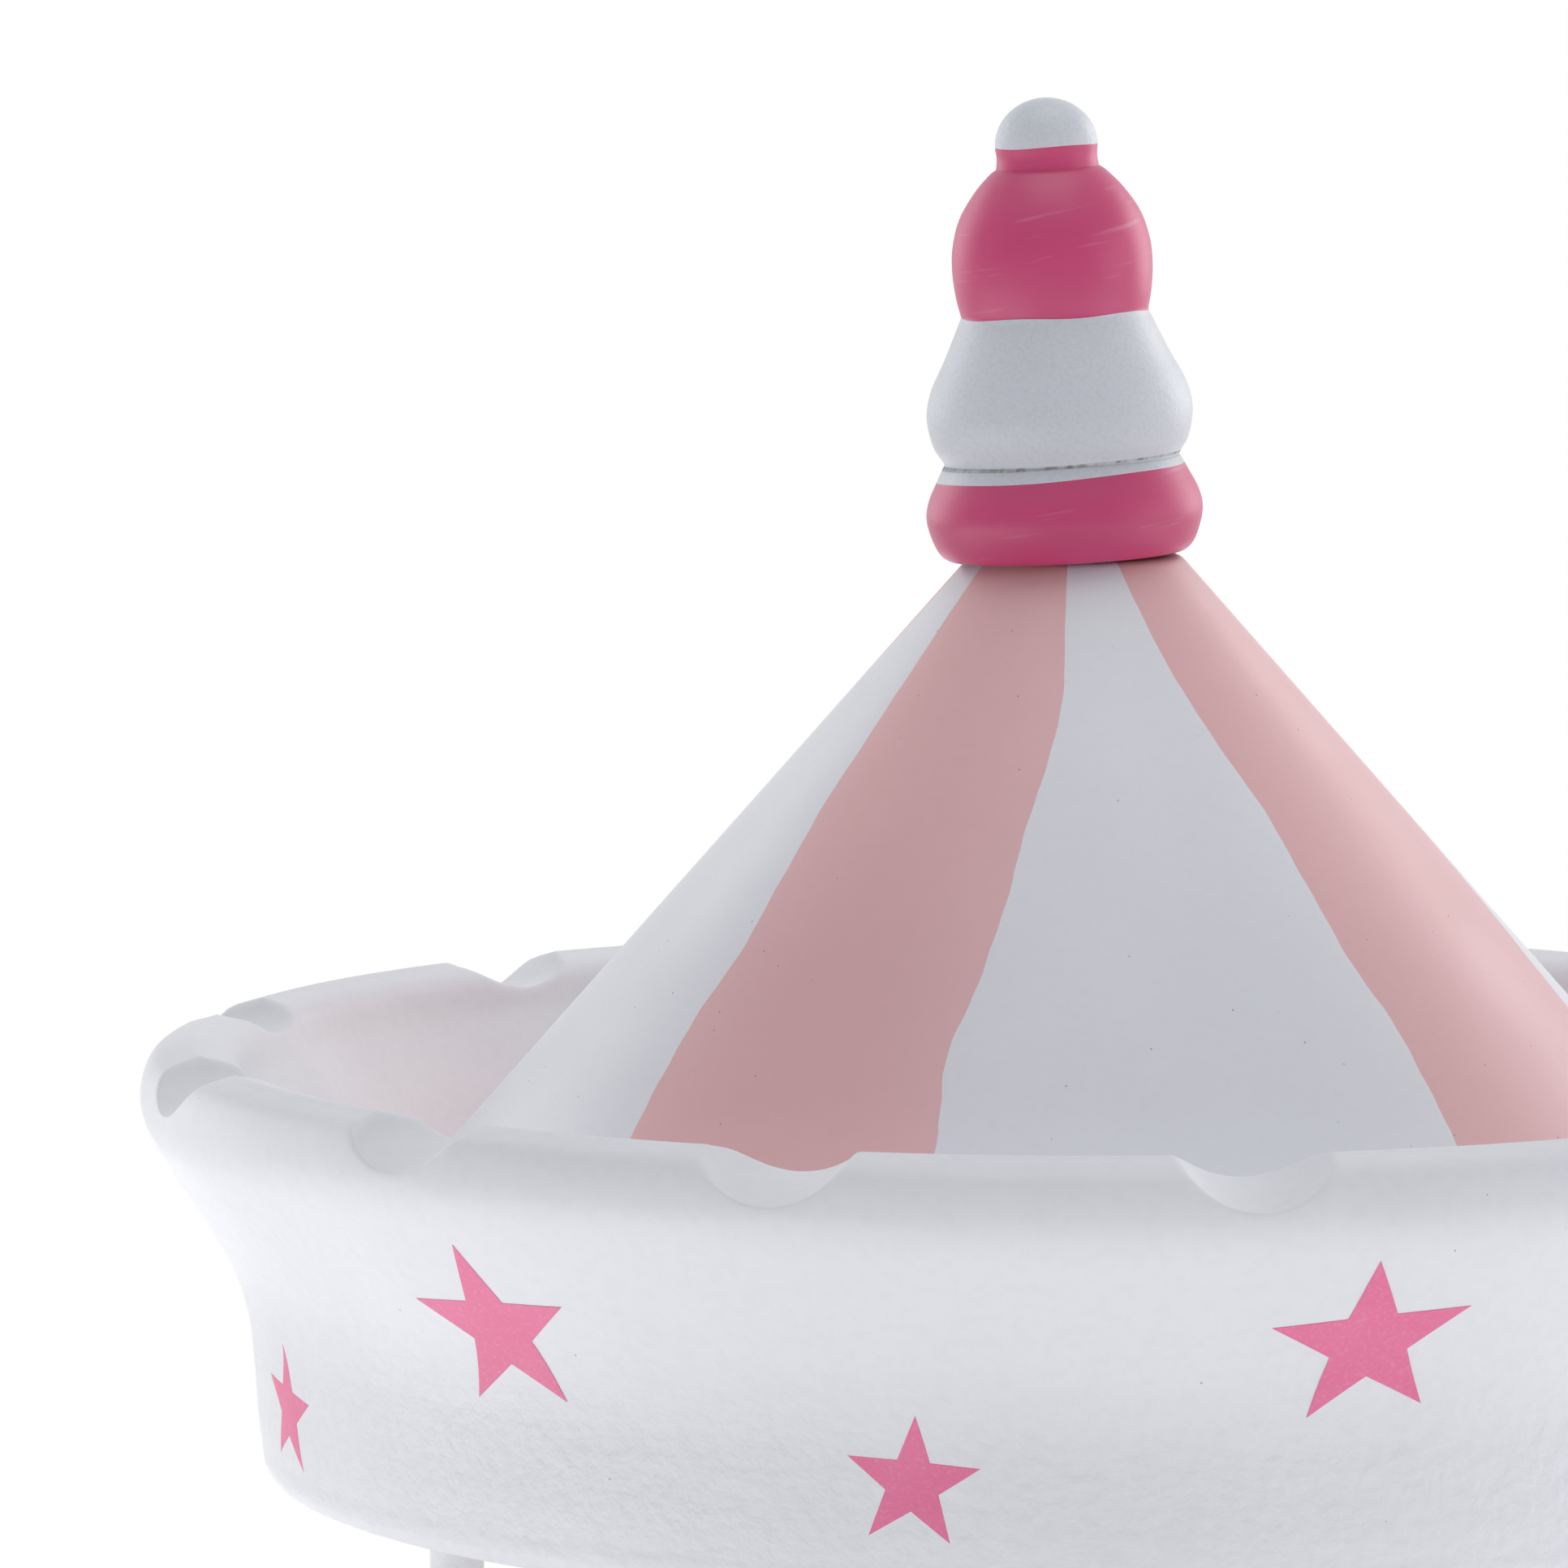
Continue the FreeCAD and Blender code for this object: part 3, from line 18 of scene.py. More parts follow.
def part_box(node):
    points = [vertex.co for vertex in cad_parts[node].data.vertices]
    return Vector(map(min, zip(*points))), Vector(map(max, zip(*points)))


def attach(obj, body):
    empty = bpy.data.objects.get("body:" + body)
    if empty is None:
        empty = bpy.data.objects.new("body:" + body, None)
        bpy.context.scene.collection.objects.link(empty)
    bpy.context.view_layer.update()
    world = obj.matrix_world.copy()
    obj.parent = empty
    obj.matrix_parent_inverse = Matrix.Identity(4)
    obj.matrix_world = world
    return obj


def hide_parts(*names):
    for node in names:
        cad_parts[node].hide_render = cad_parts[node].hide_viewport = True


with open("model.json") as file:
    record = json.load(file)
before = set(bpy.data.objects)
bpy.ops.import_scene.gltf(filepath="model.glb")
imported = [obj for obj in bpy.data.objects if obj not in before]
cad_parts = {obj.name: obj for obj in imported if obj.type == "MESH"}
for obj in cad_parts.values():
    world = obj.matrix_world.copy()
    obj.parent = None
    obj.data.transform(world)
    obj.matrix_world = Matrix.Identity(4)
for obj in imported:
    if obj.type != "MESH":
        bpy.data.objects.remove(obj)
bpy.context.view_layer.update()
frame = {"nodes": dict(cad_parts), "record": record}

scene = bpy.context.scene
MM = 0.001


def corners_of(node):
    """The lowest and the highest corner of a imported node, in millimetres."""
    return [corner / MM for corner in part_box(node)]


print("packed nodes:", len(frame["nodes"]))


# %% [markdown]
# Most pieces here were made on a lathe. A lathe piece is a grid of points: rings that follow its profile and
# columns that go round its axis. Blender's Screw modifier could turn a profile too, but a grid that is worked
# out point by point lets paint lines, scoops and stripes fall exactly on the edges of its faces.

# %% Turn a grid of points into a mesh
SHARP_TURN = math.radians(38)
WELD_DISTANCE = 1e-7
QUARTER_TURN = math.pi / 2


def link_piece(name, mesh, *finishes):
    """A new object for a mesh, with its finishes in the order that the faces count them."""
    mesh.shade_smooth()
    mesh.set_sharp_from_angle(angle=SHARP_TURN)
    piece = bpy.data.objects.new(name, mesh)
    scene.collection.objects.link(piece)
    for finish in finishes:
        mesh.materials.append(finish)
    return piece


def weld(mesh, face_one_way=False):
    """Makes points in the same place one, and turns all faces to the same side where that is asked."""
    work = bmesh.new()
    work.from_mesh(mesh)
    bmesh.ops.remove_doubles(work, verts=work.verts, dist=WELD_DISTANCE)
    if face_one_way:
        bmesh.ops.recalc_face_normals(work, faces=work.faces)
    work.to_mesh(mesh)
    work.free()


def turned(name, radius, angle, height, finishes, paint=0, closed=False):
    """A piece from grids of radius, angle and height: one row for each ring, one column for each angle.

    paint numbers the finish of the faces above each ring. A closed profile joins its last ring to its first.
    """
    radius, angle, height = np.broadcast_arrays(radius, angle, height)
    rings, columns = radius.shape
    points = np.stack([radius * np.cos(angle), radius * np.sin(angle), height], -1).reshape(-1, 3) * MM
    ring, column = np.mgrid[0:rings if closed else rings - 1, 0:columns]
    above, beside = (ring + 1) % rings, (column + 1) % columns
    corners = [(ring, column), (ring, beside), (above, beside), (above, column)]
    faces = np.stack([row * columns + place for row, place in corners], -1).reshape(-1, 4)
    mesh = bpy.data.meshes.new(name)
    mesh.from_pydata(points.tolist(), [], faces.tolist())
    face_paint = np.broadcast_to(paint, ring.shape).ravel().astype(np.int32)
    mesh.polygons.foreach_set("material_index", face_paint)
    weld(mesh)
    print(name, len(mesh.vertices), "points")
    return link_piece(name, mesh, *finishes)


def around(columns):
    """A row of evenly spaced angles for the columns of a turned piece."""
    return np.arange(columns)[None, :] * 2 * math.pi / columns


def lathe(name, path, columns, finishes, ring_paint, closed=False):
    """A plain turned piece, whose rings are all level circles."""
    return turned(name, path[:, :1], around(columns), path[:, 1:], finishes, ring_paint[:, None], closed)


# %% Curves for profiles
def smooth(points, steps=8):
    """A smooth curve through a few points, with the same number of steps between each two."""
    knots = np.array(points, float)
    before = np.vstack([2 * knots[0] - knots[1], knots[:-2]])
    after = np.vstack([knots[2:], 2 * knots[-1] - knots[-2]])
    share = np.arange(steps)[:, None] / steps
    spans = []
    for left, start, stop, right in zip(before, knots[:-1], knots[1:], after):
        pull, push = (stop - left) / 2, (right - start) / 2
        spans.append(
            start + pull * share
            + (3 * (stop - start) - 2 * pull - push) * share**2
            + (2 * (start - stop) + pull + push) * share**3)
    return np.vstack([*spans, knots[-1:]])


def rounded(corners, steps=6):
    """A profile of straight runs. A corner (radius, height, round) is rounded from that far on each side."""
    spots = [np.array(corner[:2], float) for corner in corners]
    path = []
    for index, corner in enumerate(corners):
        here = spots[index]
        if len(corner) == 2:
            path.append(here)
            continue
        back = (spots[index - 1] - here) / np.linalg.norm(spots[index - 1] - here)
        onward = (spots[index + 1] - here) / np.linalg.norm(spots[index + 1] - here)
        for share in np.linspace(0, 1, steps):
            path.append(here + corner[2] * (back * (1 - share) ** 2 + onward * share**2))
    return np.array(path)


print("a rounded corner takes", len(rounded([(0, 0), (1, 0, 0.2), (1, 1)])) - 2, "points")


# %% Give a piece its place in the model
def mount(piece, body, slot, *nodes):
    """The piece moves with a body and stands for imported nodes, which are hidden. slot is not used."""
    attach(piece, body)
    if nodes:
        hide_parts(*nodes)


# %% [markdown]
# Every finish is a small tree of shader nodes. One helper adds a node, sets it up and links it. Colours are
# written as the sRGB hex values that an eye, or a picture, would name, and one function turns them into the
# linear light that the shader reckons with. Pattern sizes are given in millimetres.

# %% Helpers for finishes
def colour(code):
    """An sRGB hex colour as linear red, green, blue and alpha."""
    parts = [int(code[place:place + 2], 16) / 255 for place in (1, 3, 5)]
    return (*[p / 12.92 if p <= 0.04045 else ((p + 0.055) / 1.055) ** 2.4 for p in parts], 1)


def shaded(code, share, lift=0):
    """A colour made darker or paler: its linear light times a share, and a lift on top."""
    return (*[part * share + lift for part in colour(code)[:3]], 1)


def per(millimetres):
    """The texture scale whose pattern repeats about once in that many millimetres."""
    return 1 / (millimetres * MM)


def add(tree, kind, inputs=(), **settings):
    """Adds a shader node. Inputs pair a socket with what it holds: a value, or another node's output."""
    node = tree.nodes.new("ShaderNode" + kind)
    for name, value in settings.items():
        setattr(node, name, value)
    for socket, value in inputs:
        if isinstance(value, bpy.types.NodeSocket):
            tree.links.new(value, node.inputs[socket])
        else:
            node.inputs[socket].default_value = value
    return node


def new_finish(name):
    """A new material with its tree, its principled shader and the place of each point on the piece."""
    finish = bpy.data.materials.new(name)
    finish.use_nodes = True
    tree = finish.node_tree
    place = add(tree, "TexCoord").outputs["Object"]
    return finish, tree, tree.nodes["Principled BSDF"], place


print("middle grey in linear light:", round(colour("#808080")[0], 3))


# %% [markdown]
# Brush enamel on turned beech. The paint was brushed on while the piece turned, so it has faint ripples that
# run round it, and it dried with a fine orange peel. That breaks up the highlights a little, but the colour
# stays nearly even; only the hollows of the peel are drawn a touch darker, as painted shade. The crown's
# carved rim was sanded, so there the peel fades. A few specks of dust were caught in the paint, and the
# finial has pale rub marks. Noise textures give the peel and the ripples as bump, and, drawn out and cut off
# near the peak, the marks. A Voronoi texture gives the specks: those points of its cells that happen to lie
# at the surface.

# %% Dust and rub marks
SPECK_CELL = 2.2
SPECK_CORE, SPECK_EDGE = 0.026, 0.048
SPECK_DARKNESS = 0.55
DUST = "#4a4038"
RUB_WIDTH = 0.6
RUB_STRETCH = 14
RUB_TURN = -0.2


def with_dust(tree, place, paint, share):
    """The paint with dark specks, in a share of the cells."""
    cells = add(tree, "TexVoronoi", [("Vector", place), ("Scale", per(SPECK_CELL))])
    near = add(tree, "MapRange", [
        ("Value", cells.outputs["Distance"]), ("From Min", SPECK_CORE), ("From Max", SPECK_EDGE),
        ("To Min", 1), ("To Max", 0)])
    lot = add(tree, "SeparateColor", [(0, cells.outputs["Color"])])
    chosen = add(tree, "Math", [(0, lot.outputs[0]), (1, share)], operation="LESS_THAN")
    speck = add(tree, "Math", [(0, near.outputs[0]), (1, chosen.outputs[0])], operation="MULTIPLY")
    dark = add(tree, "Math", [(0, speck.outputs[0]), (1, SPECK_DARKNESS)], operation="MULTIPLY")
    dusty = add(tree, "MixRGB", [("Fac", dark.outputs[0]), ("Color1", paint), ("Color2", colour(DUST))])
    return dusty.outputs[0]


def with_rub_marks(tree, place, paint, code, strength):
    """The paint with thin pale marks that run round the piece, a little aslant."""
    aslant = add(tree, "Mapping", [
        ("Vector", place), ("Rotation", (0, RUB_TURN, 0)), ("Scale", (RUB_STRETCH, RUB_STRETCH, 1))],
        vector_type="TEXTURE")
    hair = add(tree, "TexNoise", [("Vector", aslant.outputs[0]), ("Scale", per(RUB_WIDTH)), ("Detail", 2)])
    rub = add(tree, "MapRange", [
        ("Value", hair.outputs[0]), ("From Min", 0.64), ("From Max", 0.8),
        ("To Min", 0), ("To Max", strength)])
    pale = shaded(code, 0.6, 0.4)
    marked = add(tree, "MixRGB", [("Fac", rub.outputs[0]), ("Color1", paint), ("Color2", pale)])
    return marked.outputs[0]


print("dust specks are up to", round(2 * SPECK_EDGE * SPECK_CELL, 2), "mm wide")

# %% Brushed enamel
CLOUD_WIDTH = 16
RIPPLE_WIDTH = 11
RIPPLE_SQUEEZE = 7
RIM_ROLL = 8
RIM_FADE = 14
PEEL_ON_RIM = 0.15


def brush_enamel(name, code, gloss=0.42, peel=0.9, peel_depth=0.012, ripple_depth=0.02, mottle=0.05,
                 specks=0.1, grain_shade=0.03, rubbed=0, sanded_rim=None):
    """Satin enamel of one colour, with the peel's width and the depths of peel and ripples in millimetres.

    mottle, specks and rubbed say how much of each shows; the grain share darkens the peel's hollows as painted
    shade.
    At the height sanded_rim the peel has faded.
    """
    finish, tree, shader, place = new_finish(name)
    dull = shaded(code, 0.6)
    cloud = add(tree, "TexNoise", [("Vector", place), ("Scale", per(CLOUD_WIDTH)), ("Detail", 5)])
    shade = add(tree, "MapRange", [
        ("Value", cloud.outputs[0]), ("From Min", 0.35), ("From Max", 0.7),
        ("To Min", 0), ("To Max", mottle)])
    even = add(tree, "MixRGB", [("Fac", shade.outputs[0]), ("Color1", colour(code)), ("Color2", dull)])
    bumps = add(tree, "TexNoise", [("Vector", place), ("Scale", per(peel)), ("Detail", 3)])
    # Painted shade: the hollows of the peel are drawn a little darker in the colour, for the small shadows of
    # the paint's grain.
    hollows = add(tree, "MapRange", [
        ("Value", bumps.outputs[0]), ("From Min", 0.45), ("From Max", 0.65),
        ("To Min", 0), ("To Max", grain_shade)])
    tone = add(tree, "MixRGB", [("Fac", hollows.outputs[0]), ("Color1", even.outputs[0]), ("Color2", dull)])
    paint = tone.outputs[0]
    if rubbed:
        paint = with_rub_marks(tree, place, paint, code, rubbed)
    tree.links.new(with_dust(tree, place, paint, specks), shader.inputs["Base Color"])
    rough = add(tree, "MapRange", [
        ("Value", cloud.outputs[0]), ("From Min", 0.3), ("From Max", 0.7),
        ("To Min", gloss - 0.05), ("To Max", gloss + 0.05)])
    tree.links.new(rough.outputs[0], shader.inputs["Roughness"])
    shader.inputs["IOR"].default_value = 1.5
    squeezed = add(tree, "Mapping", [("Vector", place), ("Scale", (1, 1, RIPPLE_SQUEEZE))])
    ripple = add(tree, "TexNoise", [
        ("Vector", squeezed.outputs[0]), ("Scale", per(RIPPLE_WIDTH)), ("Detail", 4)])
    wave = add(tree, "Bump", [
        ("Height", ripple.outputs[0]), ("Distance", ripple_depth * MM), ("Strength", 1)])
    strength = 1
    if sanded_rim:
        axes = add(tree, "SeparateXYZ", [(0, place)])
        fade = add(tree, "MapRange", [
            ("Value", axes.outputs[2]), ("From Min", (sanded_rim - RIM_FADE) * MM),
            ("From Max", sanded_rim * MM), ("To Min", 1), ("To Max", PEEL_ON_RIM)])
        strength = fade.outputs[0]
    skin = add(tree, "Bump", [
        ("Height", bumps.outputs[0]), ("Distance", peel_depth * MM), ("Strength", strength),
        ("Normal", wave.outputs[0])])
    tree.links.new(skin.outputs[0], shader.inputs["Normal"])
    return finish


rim_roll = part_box("crown")[1].z / MM - RIM_ROLL
crown_white = brush_enamel(
    "white_brushed_enamel", "#e4e5e7", gloss=0.5, peel=1.1, peel_depth=0.15, ripple_depth=0.06, grain_shade=0.05,
    sanded_rim=rim_roll)
roof_white = brush_enamel(
    "white_satin_roof_enamel", "#e4e5e8", gloss=0.4, peel_depth=0.004, mottle=0.03, specks=0.9)
roof_pink = brush_enamel(
    "pale_pink_roof_enamel", "#e3b3b3", gloss=0.4, peel_depth=0.004, mottle=0.06, specks=0.9)
# The finial's white is written greyer than the crown's: partly its own greyer paint, partly painted shade for
# the lower light on the finial.
finial_white_painted_shade = brush_enamel("white_finial_enamel_painted_shade", "#d4d7dc", peel=0.32, peel_depth=0.05, grain_shade=0.13)
ROSE_PAINT = {"code": "#ca4173", "gloss": 0.4, "peel": 1.4, "mottle": 0.12, "specks": 0.04}
rose = brush_enamel("rose_enamel", **ROSE_PAINT)
finial_rose = brush_enamel("rubbed_rose_enamel", rubbed=0.3, **ROSE_PAINT)
print("enamels:", crown_white.name, roof_white.name, roof_pink.name, finial_white_painted_shade.name, rose.name)


# %% [markdown]
# The groove above the finial's foot was cut across the grain, and the paint didn't fill it: torn grey wood
# fibres show through the white in short broken dashes. A painted line would be too even. A noise that is
# drawn out across the groove breaks it into dashes.

# %% Half-filled groove
TEAR_WIDTH = 0.8
TEAR_SQUEEZE = 0.4
TEAR_DEPTH = 0.15


def torn_groove(name, code, fibre_code):
    """Matt paint that is broken by dashes of bare fibre."""
    finish, tree, shader, place = new_finish(name)
    drawn = add(tree, "Mapping", [("Vector", place), ("Scale", (1, 1, TEAR_SQUEEZE))])
    tear = add(tree, "TexNoise", [("Vector", drawn.outputs[0]), ("Scale", per(TEAR_WIDTH)), ("Detail", 4)])
    bare = add(tree, "MapRange", [
        ("Value", tear.outputs[0]), ("From Min", 0.45), ("From Max", 0.65), ("To Min", 0), ("To Max", 0.85)])
    tint = add(tree, "MixRGB", [
        ("Fac", bare.outputs[0]), ("Color1", colour(code)), ("Color2", colour(fibre_code))])
    tree.links.new(tint.outputs[0], shader.inputs["Base Color"])
    shader.inputs["Roughness"].default_value = 0.8
    relief = add(tree, "Bump", [("Height", tear.outputs[0]), ("Distance", TEAR_DEPTH * MM), ("Strength", 1)])
    tree.links.new(relief.outputs[0], shader.inputs["Normal"])
    return finish


rough_groove = torn_groove("half_filled_groove", "#c4c5c9", "#8a8078")
print("groove:", rough_groove.name)


# %% [markdown]
# The stars are printed transfers: rose ink in a thin film, a little uneven, with fine pale pinholes where the
# paint below shows through. A fine noise, cut off near its peak, gives the pinholes, and a broad one the
# cloudy change from a fuller to a thinner film. The pinholes are drawn coarser than real ones, so that they
# show.

# %% Printed stars
PINHOLE_WIDTH = 0.3
INK_CLOUD_WIDTH = 5
INK_GRIT = 0.015


def transfer_ink(name, full_code, thin_code, pinhole_code):
    """Ink between a full and a thin film, with pinholes."""
    finish, tree, shader, place = new_finish(name)
    grain = add(tree, "TexNoise", [("Vector", place), ("Scale", per(PINHOLE_WIDTH)), ("Detail", 2)])
    holes = add(tree, "MapRange", [
        ("Value", grain.outputs[0]), ("From Min", 0.5), ("From Max", 0.8), ("To Min", 0), ("To Max", 0.18)])
    cloud = add(tree, "TexNoise", [("Vector", place), ("Scale", per(INK_CLOUD_WIDTH)), ("Detail", 3)])
    ink = add(tree, "MixRGB", [
        ("Fac", cloud.outputs[0]), ("Color1", colour(full_code)), ("Color2", colour(thin_code))])
    film = add(tree, "MixRGB", [
        ("Fac", holes.outputs[0]), ("Color1", ink.outputs[0]), ("Color2", colour(pinhole_code))])
    tree.links.new(film.outputs[0], shader.inputs["Base Color"])
    shader.inputs["Roughness"].default_value = 0.5
    grain_shade = add(tree, "Bump", [("Height", grain.outputs[0]), ("Distance", INK_GRIT * MM), ("Strength", 1)])
    tree.links.new(grain_shade.outputs[0], shader.inputs["Normal"])
    return finish


star_ink = transfer_ink("rose_transfer_ink", "#df6990", "#e87ca1", "#f0c6d6")
print("ink:", star_ink.name)


# %% [markdown]
# The crown is a ring turned from solid wood. Its outside flares from a straight waist to a rolled rim, and
# its inside is a shallow dish for the roof. Twelve scoops were carved into the rim by hand with a round gouge
# that slopes down to the outside, and then sanded. A Boolean modifier could cut them, but it leaves hard
# edges. Here each scoop lowers the points of the rim that stand above the gouge, with a soft minimum, so that
# its edges come out sanded. The columns of the mesh stand close in the scoops and wide apart between them.

# %% The crown's profile
crown_low, crown_high = corners_of("crown")
crest, crown_bottom = crown_high.z, crown_low.z
# Radius and height, counted from the crest
CROWN_UNDERSIDE = [(0, -33), (30, -33), (61.2, -33, 2.4), (61.2, -30.4)]
CROWN_OUTSIDE = [
    (61.2, -30.4), (61.5, -28), (61.75, -24.4), (62.2, -20.6), (63.4, -16.8), (65.4, -13.2),
    (68.0, -9.2), (69.8, -6.1), (70.2, -3.6), (69.2, -1.1), (66.3, 0)]
CROWN_INSIDE = [(66.3, 0), (63.3, -1), (61.6, -4.2), (58, -9), (55.6, -12.6), (54, -14)]
CROWN_FLOOR = [(26, -14), (0, -14)]
outside, inside = smooth(CROWN_OUTSIDE), smooth(CROWN_INSIDE)
crown_path = np.vstack([rounded(CROWN_UNDERSIDE)[:-1], outside[:-1], inside, CROWN_FLOOR])


def crown_radius(height):
    """The radius of the crown's outside at a height below the crest."""
    return np.interp(height, outside[:, 1], outside[:, 0])


print("crown profile:", len(crown_path), "rings")

# %% Carve the scoops
SCOOP_PHASE = 12.6
SCOOP_STRAY = [0, -1.2, 0.6, 1.4, 1.2, 3.4, 4.7, 3.6, -0.4, -1.8, 0.9, -1.1]
SCOOP_DEPTH = 2.6
GOUGE_RADIUS = 6.5
GOUGE_SLOPE = math.radians(12)
CREST_RADIUS = 66
RIM_INSIDE, RIM_FOOT = 50, -12
SANDING = 0.5

scoop_step = 360 / len(SCOOP_STRAY)
scoops = np.radians([SCOOP_PHASE + scoop_step * number + stray for number, stray in enumerate(SCOOP_STRAY)])


def scoop_rim(radius, angle, height):
    """Lowers what stands above the twelve gouge cuts."""
    low = height.copy()
    on_rim = (radius > RIM_INSIDE) & (height > RIM_FOOT)
    for middle in scoops:
        across = radius * np.sin(angle - middle)
        in_cut = on_rim & (np.abs(across) < GOUGE_RADIUS) & (np.cos(angle - middle) > 0)
        drop = np.sqrt(np.clip(GOUGE_RADIUS**2 - across**2, 0, None)) / math.cos(GOUGE_SLOPE)
        cut = GOUGE_RADIUS - SCOOP_DEPTH + (CREST_RADIUS - radius) * math.tan(GOUGE_SLOPE) - drop
        blend = np.clip(0.5 + (low - cut) / (2 * SANDING), 0, 1)
        sanded = low * (1 - blend) + cut * blend - SANDING * blend * (1 - blend)
        low = np.where(in_cut, np.minimum(low, sanded), low)
    return low


print("scoops:", len(scoops))

# %% Turn the crown
SCOOP_HALF = math.radians(5.5)
COLUMNS_IN_SCOOP, COLUMNS_IN_GAP = 40, 16

spans = []
for here, there in zip(scoops, np.append(scoops[1:], scoops[0] + 2 * math.pi)):
    spans.append(np.linspace(here - SCOOP_HALF, here + SCOOP_HALF, COLUMNS_IN_SCOOP, endpoint=False))
    spans.append(np.linspace(here + SCOOP_HALF, there - SCOOP_HALF, COLUMNS_IN_GAP, endpoint=False))
crown_angle = np.concatenate(spans)[None, :]
whole_radius = crown_path[:, :1] + 0 * crown_angle
whole_height = crown_path[:, 1:] + 0 * crown_angle
cut_height = scoop_rim(whole_radius, crown_angle, whole_height)
widest = crown_radius(cut_height)
narrowest = np.interp(cut_height, inside[::-1, 1], inside[::-1, 0])
cut_radius = np.where(
    cut_height < whole_height, np.clip(whole_radius, narrowest, widest), whole_radius)
crown = turned("painted_crown", cut_radius, crown_angle, cut_height + crest, [crown_white])
mount(crown, "carousel", "white_enamel", "crown")


# %% [markdown]
# Twelve stars go round the crown, large ones high on the flare and small ones low on the waist in turn, each
# put on by hand and a little askew. A star painted in the shader would have no edge of its own, and a
# Shrinkwrap modifier would change its size on the flare. So each is a thin patch: a flat star of ten
# triangles, divided finely, is wrapped on the wall by the profile's own numbers and given a thickness.

# %% Wrap a star on a wall
STAR_CORNERS = 10
STAR_WAIST = 0.4
STAR_STEPS = 7
FILM = 0.015


def star_points(size, lean):
    """Flat points of a star's ten triangles, and the faces that join them."""
    points, faces = [], []
    for corner in range(STAR_CORNERS):
        reach = [size * (STAR_WAIST if step % 2 else 1) for step in (corner, corner + 1)]
        turn = [math.radians(lean + 360 / STAR_CORNERS * step) for step in (corner, corner + 1)]
        first, second = ((-r * math.sin(t), r * math.cos(t)) for r, t in zip(reach, turn))
        start = len(points)
        for row in range(STAR_STEPS + 1):
            for place in range(row + 1):
                points.append(tuple(
                    ((row - place) * a + place * b) / STAR_STEPS for a, b in zip(first, second)))
        for row in range(STAR_STEPS):
            for place in range(row + 1):
                here = start + row * (row + 1) // 2 + place
                below = start + (row + 1) * (row + 2) // 2 + place
                faces.append((here, below, below + 1))
                if place < row:
                    faces.append((here, below + 1, here + 1))
    return points, faces


def wrapped_stars(name, stars, wall_radius, top):
    """Stars given as (bearing from the front, height, size, lean), wrapped on a wall and made one mesh."""
    points, faces = [], []
    for bearing, height, size, lean in stars:
        flat, triangles = star_points(size, lean)
        faces += [tuple(len(points) + corner for corner in triangle) for triangle in triangles]
        slope = wall_radius(height + 0.5) - wall_radius(height - 0.5)
        for across, up in flat:
            level = height + up / math.hypot(1, slope)
            radius = wall_radius(level) + FILM
            angle = math.radians(bearing - 90) + across / wall_radius(height)
            points.append((radius * math.cos(angle) * MM, radius * math.sin(angle) * MM, (top + level) * MM))
    mesh = bpy.data.meshes.new(name)
    mesh.from_pydata(points, [], faces)
    weld(mesh, face_one_way=True)
    piece = link_piece(name, mesh, star_ink)
    film = piece.modifiers.new("film", "SOLIDIFY")
    film.thickness = 2 * FILM * MM
    film.offset = -1
    piece.modifiers.new("crisp_edges", "EDGE_SPLIT")
    print(name, len(stars), "stars")
    return piece


# %% The crown's stars
FRONT_STARS = [
    (-69.6, -25.3, 5, -6),
    (-39.4, -14.9, 7.5, 4),
    (-10.5, -24, 5, -4),
    (18.5, -13.75, 7.5, 5),
]
THIRDS = (0, 120, 240)
crown_stars = wrapped_stars(
    "crown_stars",
    [(bearing + third, *rest) for third in THIRDS for bearing, *rest in FRONT_STARS],
    crown_radius, crest)
mount(crown_stars, "carousel", "rose_enamel")


# %% [markdown]
# The roof is a plain cone, painted white and then with four pale pink stripes by hand. A mask in the shader
# could paint them, but an edge of the mesh stays crisp from near by. The stripes' edges wander, so they are
# given as bearings at a few heights. The columns of the mesh are spread between those edges, and each face
# then lies wholly in a stripe or wholly beside it.

# %% The painted stripes
STRIPE_HEIGHTS = (36.4, 27, 19, 10, 3, -3.5, -9, -14)
# Bearings from the front: the left and the right edge of each stripe in turn
STRIPE_EDGES = [
    (-57.7, -54.5, -53.1, -49.9, -50, -48.3, -47.9, -47.5),
    (-4.6, -3.4, -8.2, -11.3, -14.2, -13.4, -13.8, -18),
    (23.2, 30.5, 36.9, 38.4, 40.4, 39.9, 40.2, 40.6),
    (103, 99, 95, 86, 81.4, 79, 78, 77),
    (128, 127, 131, 130, 133, 132, 132, 133),
    (186, 181, 176, 172, 170, 168, 169, 167),
    (214, 217, 219, 222, 221, 222, 222, 223),
    (278, 270, 264, 259, 258, 257, 257, 255),
]
BRUSH_WOBBLE = 0.12


def stripe_edge(edge, number, heights):
    """The angle of one painted edge at each height above the crest, with the wobble of the brush."""
    curve = smooth(list(zip(STRIPE_HEIGHTS, edge)), 10)[::-1]
    wobble = np.sin(heights * 0.9 + number * 1.7) + 0.6 * np.sin(heights * 2.3 + number)
    return np.radians(np.interp(heights, curve[:, 0], curve[:, 1]) + BRUSH_WOBBLE * wobble - 90)


print("stripes:", len(STRIPE_EDGES) // 2)

# %% The roof
ROOF_FOOT_RADIUS, ROOF_TOP_RADIUS = 52.1, 7.8
ROOF_RINGS = 66
ROOF_TOP_ROUND = 0.6
COLUMNS_IN_STRIPE = 28

